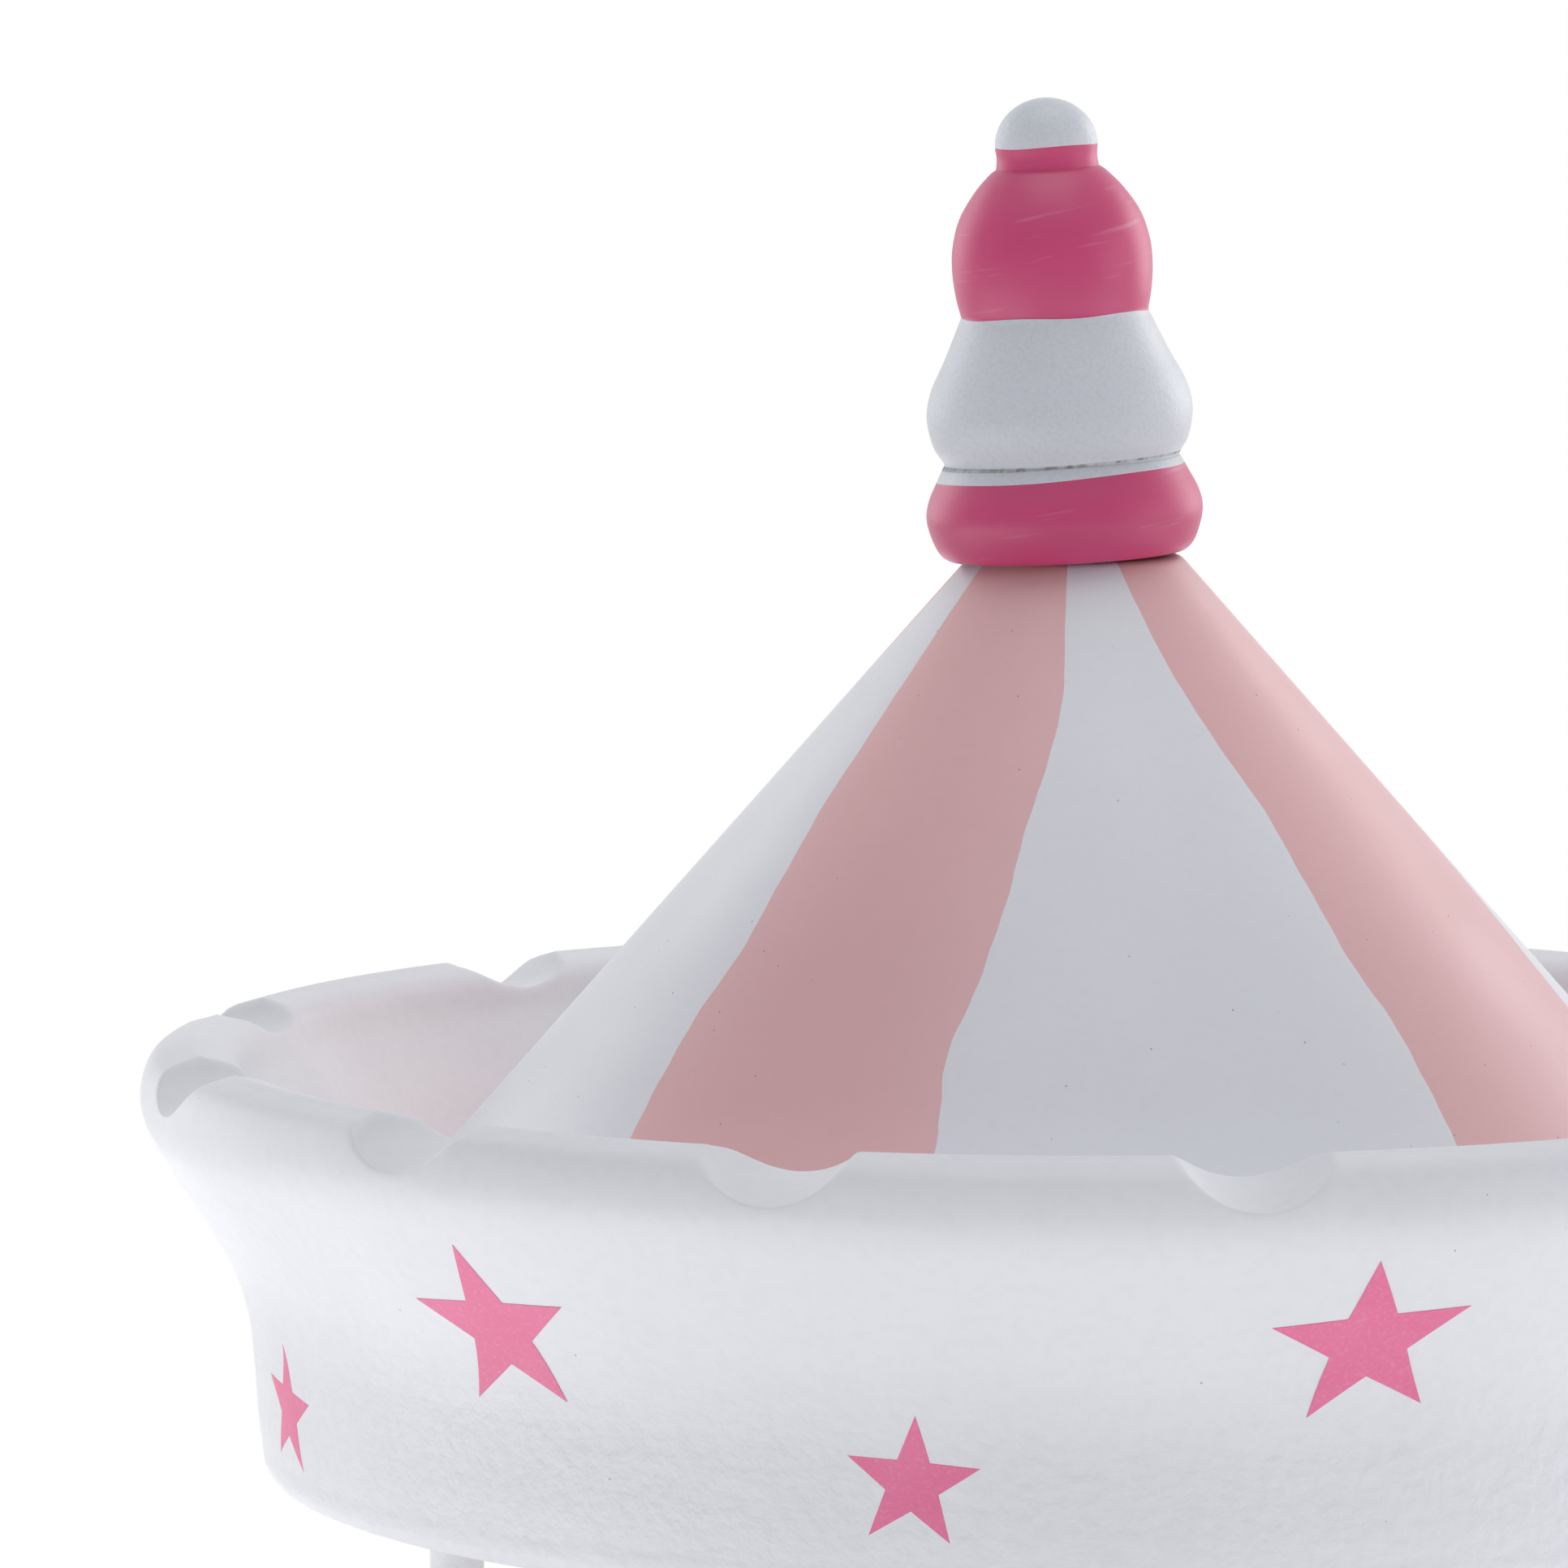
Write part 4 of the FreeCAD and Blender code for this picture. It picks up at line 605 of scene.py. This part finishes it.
roof_low, roof_high = corners_of("roof_cone")
roof_rise = roof_high.z - roof_low.z
slant = [
    (ROOF_FOOT_RADIUS - (ROOF_FOOT_RADIUS - ROOF_TOP_RADIUS) * share, roof_rise * share)
    for share in np.linspace(0.015, 0.985, ROOF_RINGS)]
roof_top = [(8.5, roof_rise - 0.8), (ROOF_TOP_RADIUS, roof_rise, ROOF_TOP_ROUND), (0, roof_rise)]
roof_path = np.vstack([[(0, 0), (30, 0), (ROOF_FOOT_RADIUS, 0)], slant, rounded(roof_top)[1:]])
roof_height = roof_path[:, 1] + roof_low.z
edges = [stripe_edge(edge, number, roof_height - crest) for number, edge in enumerate(STRIPE_EDGES)]
edges.append(edges[0] + 2 * math.pi)
roof_angle = np.hstack([
    left[:, None] + (right - left)[:, None] * np.arange(COLUMNS_IN_STRIPE) / COLUMNS_IN_STRIPE
    for left, right in zip(edges[:-1], edges[1:])])
stripe_number = np.arange(len(STRIPE_EDGES)).repeat(COLUMNS_IN_STRIPE)
roof = turned(
    "striped_roof", roof_path[:, :1], roof_angle, roof_height[:, None], [roof_pink, roof_white],
    paint=stripe_number % 2)
mount(roof, "carousel", "striped_enamel", "roof_cone")


# %% [markdown]
# The finial was turned in one piece: a bell foot, a rough groove, a white belly, a rose egg, a neck and a
# domed cap. It leans, because its dowel sits in a loose hole. The paint lines run a little aslant and waver,
# which a plain turned mesh can't follow. So the rings near a line are tilted with it, along the surface, and
# the faces above and below then take their colours.

# %% The finial's profile
WHITE, ROSE, ROUGH = range(3)
CAP_RADIUS, CAP_FOOT, CAP_RISE = 3.85, 30.25, 3.58
UNDERSIDE = [(0, 0), (7.7, 0)]
FOOT = [(7.7, 0), (8.7, -0.45), (9.65, 0.35), (10.33, 2.4), (10.15, 4), (9.3, 5.8)]
BAND = [(9.3, 5.8), (9.05, 6.3), (8.85, 6.65)]
GROOVE = [(8.85, 6.65), (8.72, 6.77), (8.85, 6.9)]
BELLY = [(8.85, 6.9), (9.6, 8.2), (9.97, 10.3), (9.55, 12.3), (8.4, 14.6), (7, 17.7)]
EGG = [(7, 17.7), (7.32, 19.2), (7.5, 21), (7.4, 22.9), (6.8, 25), (5.6, 26.9), (4.4, 28.2), (3.85, 28.6)]
NECK = [(3.85, 28.6), (3.76, 29.4), (3.85, 30.25)]
CAP = [
    (CAP_RADIUS * math.cos(turn), CAP_FOOT + CAP_RISE * math.sin(turn))
    for turn in np.linspace(0, QUARTER_TURN, 12)]

runs = [
    (UNDERSIDE, ROSE), (smooth(FOOT), ROSE), (smooth(BAND), WHITE), (smooth(GROOVE, 3), ROUGH),
    (smooth(BELLY), WHITE), (smooth(EGG), ROSE), (smooth(NECK), ROSE), (CAP, WHITE),
]
finial_path = np.vstack([*[run[:-1] for run, _ in runs], CAP[-1:]])
ring_paint = np.concatenate([np.full(len(run) - 1, paint) for run, paint in runs])
print("finial profile:", len(finial_path), "rings")

# %% The finial
# Height of each paint line, its tilt, how far it wavers and how often
LINES = [(5.8, 0.3, 0.04, 4), (6.77, 0.15, 0, 1), (17.7, 0.02, 0.07, 5), (30.25, 0.03, 0.05, 3)]
LINE_REACH = 0.9
FOOT_DIP_RINGS = 9
FINIAL_LEAN = math.radians(3)
FINIAL_SHIFT = 0.7
FINIAL_COLUMNS = 160

finial_angle = around(FINIAL_COLUMNS)
tilted = finial_path[:, 1:] + 0 * finial_angle
for line, tilt, waver, waves in LINES:
    share = np.exp(-((finial_path[:, 1:] - line) / LINE_REACH) ** 2)
    tilted += share * (tilt * np.cos(finial_angle) + waver * np.sin(waves * finial_angle + line))
rising = finial_path[len(UNDERSIDE) - 1 + FOOT_DIP_RINGS:]
on_surface = np.interp(tilted, rising[:, 1], rising[:, 0])
tilted_radius = np.where(tilted == finial_path[:, 1:], finial_path[:, :1], on_surface)
finial = turned(
    "turned_finial", tilted_radius, finial_angle, tilted, [finial_white_painted_shade, finial_rose, rough_groove],
    paint=ring_paint[:, None])
lift = (ROOF_TOP_RADIUS - FINIAL_SHIFT) * math.tan(FINIAL_LEAN)
seat = Vector((-FINIAL_SHIFT, 0, roof_high.z + lift)) * MM
finial.data.transform(Matrix.Translation(seat) @ Matrix.Rotation(-FINIAL_LEAN, 4, "Y"))
mount(finial, "carousel", "rose_enamel", "finial")


# %% [markdown]
# Below the crown come a turned column and a round platform with a rolled edge. Both are lathe pieces with
# plain profiles, and take the paint of the crown with rose and pink lines. Their half-round mouldings are
# worked out from sines and cosines, so that a ring of the mesh lies on each edge of the paint.

# %% The column
COLUMN_RADIUS = 10.5
RING_RADIUS = 16
RING_HEIGHT = 4
RING_BULGE = 1.6
RING_STEPS = 12
COVE_INSET = 2.2
COVE_HEIGHT = 6
COLUMN_FACETS = 120


def ring_profile(start, way):
    """The half-round ring and the cove at one end of the column, from the end inwards."""
    middle = start + way * RING_HEIGHT / 2
    bulge = [
        (RING_RADIUS - RING_BULGE + RING_BULGE * math.cos(turn),
         middle + way * RING_HEIGHT / 2 * math.sin(turn))
        for turn in np.linspace(-QUARTER_TURN, QUARTER_TURN, RING_STEPS)]
    reach = RING_RADIUS - COVE_INSET - COLUMN_RADIUS
    cove = [
        (COLUMN_RADIUS + reach * (1 - math.sin(turn)),
         start + way * (RING_HEIGHT + COVE_HEIGHT * (1 - math.cos(turn))))
        for turn in np.linspace(0, QUARTER_TURN, 10)]
    return bulge + cove


platform_low, platform_high = corners_of("platform")
column_foot, column_head = platform_high.z, crown_bottom
lower_end = ring_profile(column_foot, 1)
upper_end = ring_profile(column_head, -1)[::-1]
column_path = np.array([(0, column_foot)] + lower_end + upper_end + [(0, column_head)])
column_paint = np.zeros(len(column_path) - 1, int)
column_paint[:RING_STEPS] = 1
column_paint[-RING_STEPS:] = 1
column = lathe("turned_column", column_path, COLUMN_FACETS, [crown_white, rose], column_paint)
mount(column, "carousel", "white_enamel", "column")

# %% The platform
PLATFORM_RADIUS = 64
EDGE_STEPS = 20
WIDE_FACETS = 240

half_thick = (platform_high.z - platform_low.z) / 2
rolled_edge = [
    (PLATFORM_RADIUS + half_thick * (math.cos(turn) - 1), platform_low.z + half_thick * (1 + math.sin(turn)))
    for turn in np.linspace(-QUARTER_TURN, QUARTER_TURN, EDGE_STEPS)]
platform_path = np.vstack([
    [(0, platform_low.z), (30, platform_low.z)],
    rolled_edge,
    [(40, platform_high.z), (0, platform_high.z)],
])
platform_paint = np.zeros(len(platform_path) - 1, int)
platform_paint[:EDGE_STEPS] = 1
platform = lathe("round_platform", platform_path, WIDE_FACETS, [crown_white, roof_pink], platform_paint)
mount(platform, "carousel", "rose_enamel", "platform")


# %% [markdown]
# The base is a hollow drum: a plinth, a cove, a straight wall and a half-round bead on top. Its underside is
# open, so the profile runs on inside, up the recess for the cover and round the cavity. One closed profile
# makes the whole drum, with no cut. The bead is rose, and stars like the crown's go round the wall.

# %% The base
WALL_RADIUS = 61
PLINTH_RADIUS, PLINTH_HEIGHT, PLINTH_ROUND = 67, 7, 2
RECESS_RADIUS, RECESS_ROUND = 57, 0.6
CAVITY_RADIUS = 52
BUSH_RADIUS = 7.05
BASE_COVE_REACH, BASE_COVE_HEIGHT = 3.4, 10
BEAD_INSET, BEAD_REACH, BEAD_HALF = 0.6, 3.6, 4
TOP_BOARD = 8
WALL_END = 8.6

base_low, base_high = corners_of("base_drum")
cover_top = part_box("bottom_cover")[1].z / MM
foot, top = base_low.z, base_high.z
plinth_top = foot + PLINTH_HEIGHT
plinth = rounded([
    (RECESS_RADIUS, cover_top), (RECESS_RADIUS, foot, RECESS_ROUND), (PLINTH_RADIUS, foot, PLINTH_ROUND),
    (PLINTH_RADIUS, plinth_top, PLINTH_ROUND), (WALL_RADIUS + BASE_COVE_REACH, plinth_top)])
cove = [
    (WALL_RADIUS + BASE_COVE_REACH * (1 - math.sin(turn)),
     plinth_top + BASE_COVE_HEIGHT * (1 - math.cos(turn)))
    for turn in np.linspace(0, QUARTER_TURN, 14)]
bead = [
    (WALL_RADIUS - BEAD_INSET + BEAD_REACH * math.cos(turn), top - BEAD_HALF + BEAD_HALF * math.sin(turn))
    for turn in np.linspace(-QUARTER_TURN, QUARTER_TURN, 16)]
hollow = [
    (BUSH_RADIUS, top), (BUSH_RADIUS, top - TOP_BOARD), (CAVITY_RADIUS, top - TOP_BOARD),
    (CAVITY_RADIUS, cover_top)]
below_bead = np.vstack([plinth[:-1], cove, [(WALL_RADIUS, top - WALL_END)]])
base_path = np.vstack([below_bead, bead, hollow])
base_paint = np.zeros(len(base_path), int)
base_paint[len(below_bead):len(below_bead) + len(bead) - 1] = 1
base = lathe("painted_base", base_path, WIDE_FACETS, [crown_white, rose], base_paint, closed=True)
mount(base, "base", "white_enamel", "base_drum")

# %% The base's stars
STARS_ON_BASE = 12
FIRST_BEARING = 15
LOW_STAR, HIGH_STAR = (-23.5, 4.4), (-19, 5.6)
ASKEW = 7

base_star_rows = []
for number in range(STARS_ON_BASE):
    bearing = FIRST_BEARING + number * 360 / STARS_ON_BASE
    height, size = HIGH_STAR if number % 2 else LOW_STAR
    base_star_rows.append((bearing, height, size, ASKEW * math.sin(number * 2.1)))
base_stars = wrapped_stars("base_stars", base_star_rows, lambda height: WALL_RADIUS, top)
mount(base_stars, "base", "rose_enamel")


# %% [markdown]
# The horses are sawn from board and sanded round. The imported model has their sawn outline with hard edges. A
# Bevel modifier breaks at such an outline's tight corners, so a copy of one horse is divided into small cubes
# and smoothed, which wears its edges away as sandpaper does. The paint is in the finish: simple shapes in the
# horse's own frame mark the mane, tail, saddle and hooves.

# %% Horse paint
COAT = "#e6e6ea"
MANE = "#dba6b0"
SADDLE_SEAT = "#e9d9dc"
HOOF = "#6d666b"
EYE = "#2b2628"
PAINT_WANDER = 1.2
PAINT_EDGE = 0.06


def inside_ellipse(tree, axes, middle, half):
    """1 inside an ellipse seen from the horse's side, 0 outside; middle and half sizes in millimetres."""
    scaled = []
    for axis, centre, reach in zip((0, 2), middle, half):
        away = add(tree, "Math", [(0, axes.outputs[axis]), (1, centre * MM)], operation="SUBTRACT")
        part = add(tree, "Math", [(0, away.outputs[0]), (1, reach * MM)], operation="DIVIDE")
        scaled.append(add(tree, "Math", [(0, part.outputs[0]), (1, 2)], operation="POWER"))
    total = add(tree, "Math", [(0, scaled[0].outputs[0]), (1, scaled[1].outputs[0])])
    mask = add(tree, "MapRange", [
        ("Value", total.outputs[0]), ("From Min", 1 - PAINT_EDGE), ("From Max", 1 + PAINT_EDGE),
        ("To Min", 1), ("To Max", 0)])
    return mask.outputs[0]


def horse_paint(name, saddle_code):
    """White enamel with a pink mane and tail, grey hooves, dark eyes and a saddle of the given colour."""
    finish, tree, shader, place = new_finish(name)
    unevenness = add(tree, "TexNoise", [("Vector", place), ("Scale", per(6)), ("Detail", 3)])
    shift = add(tree, "VectorMath", [
        (0, unevenness.outputs["Color"]), (1, (0.5, 0.5, 0.5))], operation="SUBTRACT")
    small = add(tree, "VectorMath", [(0, shift.outputs[0]), ("Scale", PAINT_WANDER * MM)], operation="SCALE")
    moved = add(tree, "VectorMath", [(0, place), (1, small.outputs[0])])
    axes = add(tree, "SeparateXYZ", [(0, moved.outputs[0])])
    shapes = [
        (MANE, (-23, 13.5), (5.2, 10)),
        (MANE, (3.2, 36.6), (9.6, 7.2)),
        (saddle_code, (-1, 26.5), (7, 8.2)),
        (SADDLE_SEAT, (-1, 27.5), (4.2, 5.6)),
        (HOOF, (-17.3, -1), (4.5, 4.4)),
        (HOOF, (-7.3, -1), (4.5, 4.4)),
        (HOOF, (10.1, -1), (4.5, 4.4)),
        (HOOF, (18.3, 4.6), (3, 2.6)),
        (EYE, (18.1, 33), (0.8, 0.9)),
    ]
    paint = colour(COAT)
    for code, middle, half in shapes:
        mask = inside_ellipse(tree, axes, middle, half)
        layer = add(tree, "MixRGB", [("Fac", mask), ("Color1", paint), ("Color2", colour(code))])
        paint = layer.outputs[0]
    tree.links.new(paint, shader.inputs["Base Color"])
    shader.inputs["Roughness"].default_value = 0.42
    peel = add(tree, "TexNoise", [("Vector", place), ("Scale", per(0.9)), ("Detail", 3)])
    skin = add(tree, "Bump", [("Height", peel.outputs[0]), ("Distance", 0.02 * MM), ("Strength", 1)])
    tree.links.new(skin.outputs[0], shader.inputs["Normal"])
    return finish


saddle_finishes = [horse_paint("horse_enamel_rose", "#c9557f"), horse_paint("horse_enamel_pink", "#d89aa4")]
print("horse paints:", len(saddle_finishes))

# %% The horses
POLE_CIRCLE = 50
POLE_PHASE = 24.6
POLES = 4
HORSE_LIFT = 9
CUBE = 0.5
SANDING_STROKES = 24


def horse_seat(number):
    """Where a horse stands. Its own frame has the pole on Z, the nose towards +X and the hooves at 0."""
    angle = math.radians(POLE_PHASE + (number - 1) * 360 / POLES)
    height = platform_high.z + HORSE_LIFT
    spot = Vector((POLE_CIRCLE * math.cos(angle), POLE_CIRCLE * math.sin(angle), height)) * MM
    return Matrix.Translation(spot) @ Matrix.Rotation(angle + math.pi / 2, 4, "Z")


rough_mesh = frame["nodes"]["horse_1"].data.copy()
rough_mesh.transform(horse_seat(1).inverted())
rough = bpy.data.objects.new("rough_horse", rough_mesh)
scene.collection.objects.link(rough)
cubes = rough.modifiers.new("cubes", "REMESH")
cubes.mode = "VOXEL"
cubes.voxel_size = CUBE * MM
sanding = rough.modifiers.new("sanding", "SMOOTH")
sanding.factor = 0.5
sanding.iterations = SANDING_STROKES
shaped = rough.evaluated_get(bpy.context.evaluated_depsgraph_get())
horse_mesh = bpy.data.meshes.new_from_object(shaped)
horse_mesh.name = "sanded_horse"
bpy.data.objects.remove(rough)
horse_mesh.materials.clear()
for number in range(1, POLES + 1):
    horse = link_piece(f"sanded_horse_{number}", horse_mesh.copy(), saddle_finishes[number % 2])
    horse.matrix_world = horse_seat(number)
    mount(horse, "carousel", "horse_enamel", f"horse_{number}")
print("horses", len(horse_mesh.vertices), "points each")


# %% [markdown]
# The metal of the movement. Turned brass, bright steel, blued spring steel, nickel plate and zinc casting
# differ in colour and in how the surface was worked. Fine lines from turning or grinding make the highlight
# streaky; a casting has an even grain. One noise does for all of them: squeezed along an axis it gives lines
# across that axis. Metals keep the default IOR, because their colour sets the reflection.

# %% Metals
TOOL_MARK_DEPTH = 0.01


def worked_metal(name, code, gloss, grain, squeeze):
    """A metal whose tool marks are a noise, squeezed along X, Y and Z by the given factors."""
    finish, tree, shader, place = new_finish(name)
    drawn = add(tree, "Mapping", [("Vector", place), ("Scale", squeeze)])
    marks = add(tree, "TexNoise", [("Vector", drawn.outputs[0]), ("Scale", per(grain)), ("Detail", 4)])
    rough = add(tree, "MapRange", [
        ("Value", marks.outputs[0]), ("From Min", 0.3), ("From Max", 0.7),
        ("To Min", gloss * 0.7), ("To Max", gloss * 1.3)])
    worn = shaded(code, 0.7)
    tint = add(tree, "MixRGB", [("Fac", marks.outputs[0]), ("Color1", colour(code)), ("Color2", worn)])
    tree.links.new(tint.outputs[0], shader.inputs["Base Color"])
    tree.links.new(rough.outputs[0], shader.inputs["Roughness"])
    shader.inputs["Metallic"].default_value = 1
    bump = add(tree, "Bump", [
        ("Height", marks.outputs[0]), ("Distance", TOOL_MARK_DEPTH * MM), ("Strength", 1)])
    tree.links.new(bump.outputs[0], shader.inputs["Normal"])
    return finish


brass = worked_metal("turned_brass", "#d9b463", 0.28, 0.6, (1, 1, 6))
steel = worked_metal("bright_steel", "#b9bcc0", 0.25, 0.5, (1, 1, 6))
blued = worked_metal("blued_spring_steel", "#6f7684", 0.3, 0.4, (8, 1, 1))
nickel = worked_metal("nickel_plate", "#cfcbc2", 0.16, 1.5, (1, 1, 1))
zinc = worked_metal("zinc_casting", "#a2a3a3", 0.45, 0.7, (1, 1, 1))
print("metals:", brass.name, steel.name, blued.name, nickel.name, zinc.name)


# %% [markdown]
# The rest: birch plywood for the cover, bare beech for the dowel, black nylon for the governor and the
# washer, and rubber for the feet. Wood is a noise drawn out along the grain, with dark and pale fibres. The
# moulded pieces have a fine even grain, which keeps their black from looking flat.

# %% Wood, nylon and rubber
FIBRE_DEPTH = 0.03
MOULD_GRAIN_DEPTH = 0.02


def bare_wood(name, pale, dark, grain, squeeze):
    """Wood whose fibres are a noise, drawn out along the axis that is squeezed least."""
    finish, tree, shader, place = new_finish(name)
    drawn = add(tree, "Mapping", [("Vector", place), ("Scale", squeeze)])
    fibre = add(tree, "TexNoise", [
        ("Vector", drawn.outputs[0]), ("Scale", per(grain)), ("Detail", 6), ("Distortion", 0.6)])
    tint = add(tree, "MixRGB", [
        ("Fac", fibre.outputs[0]), ("Color1", colour(pale)), ("Color2", colour(dark))])
    tree.links.new(tint.outputs[0], shader.inputs["Base Color"])
    shader.inputs["Roughness"].default_value = 0.62
    bump = add(tree, "Bump", [("Height", fibre.outputs[0]), ("Distance", FIBRE_DEPTH * MM), ("Strength", 1)])
    tree.links.new(bump.outputs[0], shader.inputs["Normal"])
    return finish


def moulded(name, code, gloss, grain):
    """A moulded piece with the fine grain of its mould."""
    finish, tree, shader, place = new_finish(name)
    pits = add(tree, "TexNoise", [("Vector", place), ("Scale", per(grain)), ("Detail", 2)])
    pale = shaded(code, 1.5, 0.01)
    tint = add(tree, "MixRGB", [("Fac", pits.outputs[0]), ("Color1", colour(code)), ("Color2", pale)])
    tree.links.new(tint.outputs[0], shader.inputs["Base Color"])
    shader.inputs["Roughness"].default_value = gloss
    bump = add(tree, "Bump", [
        ("Height", pits.outputs[0]), ("Distance", MOULD_GRAIN_DEPTH * MM), ("Strength", 1)])
    tree.links.new(bump.outputs[0], shader.inputs["Normal"])
    return finish


plywood = bare_wood("birch_plywood", "#dcc39c", "#b8935f", 3.5, (0.12, 1, 1))
beech = bare_wood("bare_beech", "#d3ac80", "#b18353", 1.2, (1, 1, 0.1))
nylon = moulded("black_nylon", "#1d1d1f", 0.45, 0.4)
rubber = moulded("black_rubber", "#161616", 0.75, 0.5)
print("wood and moulded finishes:", plywood.name, beech.name, nylon.name, rubber.name)

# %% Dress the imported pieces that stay
FINISH_OF_SLOT = {
    "white_enamel": crown_white,
    "bare_beech": beech,
    "plywood": plywood,
    "brass": brass,
    "steel": steel,
    "spring_steel": blued,
    "nickel_plate": nickel,
    "cast_zinc": zinc,
    "nylon": nylon,
    "rubber": rubber,
}
dressed = 0
for part in frame["record"]["subparts"]:
    node = frame["nodes"][part["node"]]
    if node.hide_render:
        continue
    for holder in node.material_slots:
        holder.material = FINISH_OF_SLOT[part["material_slot"]]
    dressed += 1
print("packed nodes with a finish:", dressed)


# %% [markdown]
# The camera stands where the object was pictured from: in front, a little above the crown, with a long lens
# that keeps the perspective flat. The view is square and shows the top of the object.

# %% Camera
CAMERA_BACK = 818.7
CAMERA_OVER_CREST = 104.4
AIM_LEFT = 1.53
AIM_DOWN = 5.96
SENSOR = 36
LENS = 251.6

eye = bpy.data.cameras.new("long_lens")
eye.sensor_width = SENSOR
eye.lens = LENS
eye.clip_start, eye.clip_end = 0.01, 60
camera = bpy.data.objects.new("long_lens", eye)
camera.location = Vector((0, -CAMERA_BACK, crest + CAMERA_OVER_CREST)) * MM
camera.rotation_euler = (math.radians(90 - AIM_DOWN), 0, math.radians(AIM_LEFT))
scene.collection.objects.link(camera)
scene.camera = camera
print("camera", tuple(round(part, 3) for part in camera.location))


# %% [markdown]
# A white studio with a light table: the sky is bright overhead, soft lamps hang above and stand at the side
# and behind, and the white table glows round the object, and faintly under it. So the flare of the crown,
# which looks down, is the brightest part of it. To the camera, and in reflections, the world and the far
# floor are plain white. That comes from the kind of ray, and puts no more light on the object. Sizes here are
# in metres.

# %% White world
SKY_STRENGTH = 0.785


def background_ray(tree):
    """1 for a ray that shows the background, straight, in a reflection or through glass, and 0 for light."""
    ray = add(tree, "LightPath")
    open_view = add(tree, "Math", [
        (0, ray.outputs["Is Camera Ray"]), (1, ray.outputs["Is Glossy Ray"])], operation="MAXIMUM")
    any_view = add(tree, "Math", [
        (0, open_view.outputs[0]), (1, ray.outputs["Is Transmission Ray"])], operation="MAXIMUM")
    return any_view.outputs[0]


world = bpy.data.worlds.new("white_studio")
scene.world = world
world.use_nodes = True
sky = world.node_tree
sky.nodes.clear()
direction = add(sky, "SeparateXYZ", [(0, add(sky, "TexCoord").outputs["Generated"])])
level = add(sky, "MapRange", [
    ("Value", direction.outputs[2]), ("From Min", 0), ("From Max", 1),
    ("To Min", 0), ("To Max", SKY_STRENGTH)])
soft = add(sky, "Background", [("Color", colour("#f4f6ff")), ("Strength", level.outputs[0])])
white = add(sky, "Background", [("Color", colour("#ffffff")), ("Strength", 1)])
both = add(sky, "MixShader", [(0, background_ray(sky)), (1, soft.outputs[0]), (2, white.outputs[0])])
add(sky, "OutputWorld", [(0, both.outputs[0])])
scene.view_settings.view_transform = "Standard"
print("world:", world.name)

# %% Lamps
MIDDLE = (0, 0, 0.13)
# Name, place, size and power in watts
SOFTBOXES = [
    ("top_softbox", (0, 0, 1.5), 1, 4.8),
    ("right_softbox", (1.3, -0.3, 0.25), 0.9, 2.7),
    ("back_left_softbox", (-1.1, 0.9, 0.45), 0.9, 3.3),
    ("back_right_softbox", (1.1, 0.9, 0.45), 0.9, 5.8),
]
TABLE_GLOW = [
    ("table_glow_front", (0, -0.4, 0.006), 0.5, 0.5),
    ("table_glow_left", (-0.4, -0.15, 0.006), 0.5, 1.2),
    ("table_glow_right", (0.4, -0.15, 0.006), 0.5, 0.95),
    ("table_glow_back", (0, 0.4, 0.006), 0.5, 0.65),
    ("table_glow_under", (0, 0, 0.0005), 0.075, 0.014),
]


def soft_lamp(name, spot, size, power, target):
    """A square lamp that looks at a target."""
    lamp = bpy.data.lights.new(name, "AREA")
    lamp.size = size
    lamp.energy = power
    holder = bpy.data.objects.new(name, lamp)
    holder.location = spot
    aim = Vector(target) - Vector(spot)
    holder.rotation_euler = aim.to_track_quat("-Z", "Y").to_euler()
    holder.visible_camera = False
    scene.collection.objects.link(holder)


for name, spot, size, power in SOFTBOXES:
    soft_lamp(name, spot, size, power, MIDDLE)
for name, (x, y, z), size, power in TABLE_GLOW:
    soft_lamp(name, (x, y, z), size, power, (x, y, 1))
print("lamps:", len(SOFTBOXES) + len(TABLE_GLOW))

# %% Paper floor
FLOOR_HALF = 20
WHITE_FROM, WHITE_AT = 0.25, 0.6
PAPER_GRAIN = 1.5

paper = bpy.data.materials.new("white_paper")
paper.use_nodes = True
sheet = paper.node_tree
point = add(sheet, "NewGeometry")
distance = add(sheet, "VectorMath", [(0, point.outputs["Position"])], operation="LENGTH")
away = add(sheet, "MapRange", [
    ("Value", distance.outputs["Value"]), ("From Min", WHITE_FROM), ("From Max", WHITE_AT)])
far = add(sheet, "Math", [(0, background_ray(sheet)), (1, away.outputs[0])], operation="MULTIPLY")
glow = add(sheet, "Emission", [("Color", colour("#ffffff")), ("Strength", 1)])
grain = add(sheet, "TexNoise", [("Vector", point.outputs["Position"]), ("Scale", per(PAPER_GRAIN))])
tone = add(sheet, "MixRGB", [
    ("Fac", grain.outputs[0]), ("Color1", colour("#f2f2f3")), ("Color2", colour("#ececee"))])
matt = sheet.nodes["Principled BSDF"]
sheet.links.new(tone.outputs[0], matt.inputs["Base Color"])
matt.inputs["Roughness"].default_value = 0.8
front = add(sheet, "MixShader", [(0, far.outputs[0]), (1, matt.outputs[0]), (2, glow.outputs[0])])
clear = add(sheet, "BsdfTransparent")
one_sided = add(sheet, "MixShader", [
    (0, point.outputs["Backfacing"]), (1, front.outputs[0]), (2, clear.outputs[0])])
sheet.links.new(one_sided.outputs[0], sheet.nodes["Material Output"].inputs[0])

floor_mesh = bpy.data.meshes.new("floor")
corners = [(x * FLOOR_HALF, y * FLOOR_HALF, 0) for x, y in ((-1, -1), (1, -1), (1, 1), (-1, 1))]
floor_mesh.from_pydata(corners, [], [(0, 1, 2, 3)])
floor_mesh.materials.append(paper)
floor = bpy.data.objects.new("floor", floor_mesh)
scene.collection.objects.link(floor)
print("floor:", 2 * FLOOR_HALF, "metres square")
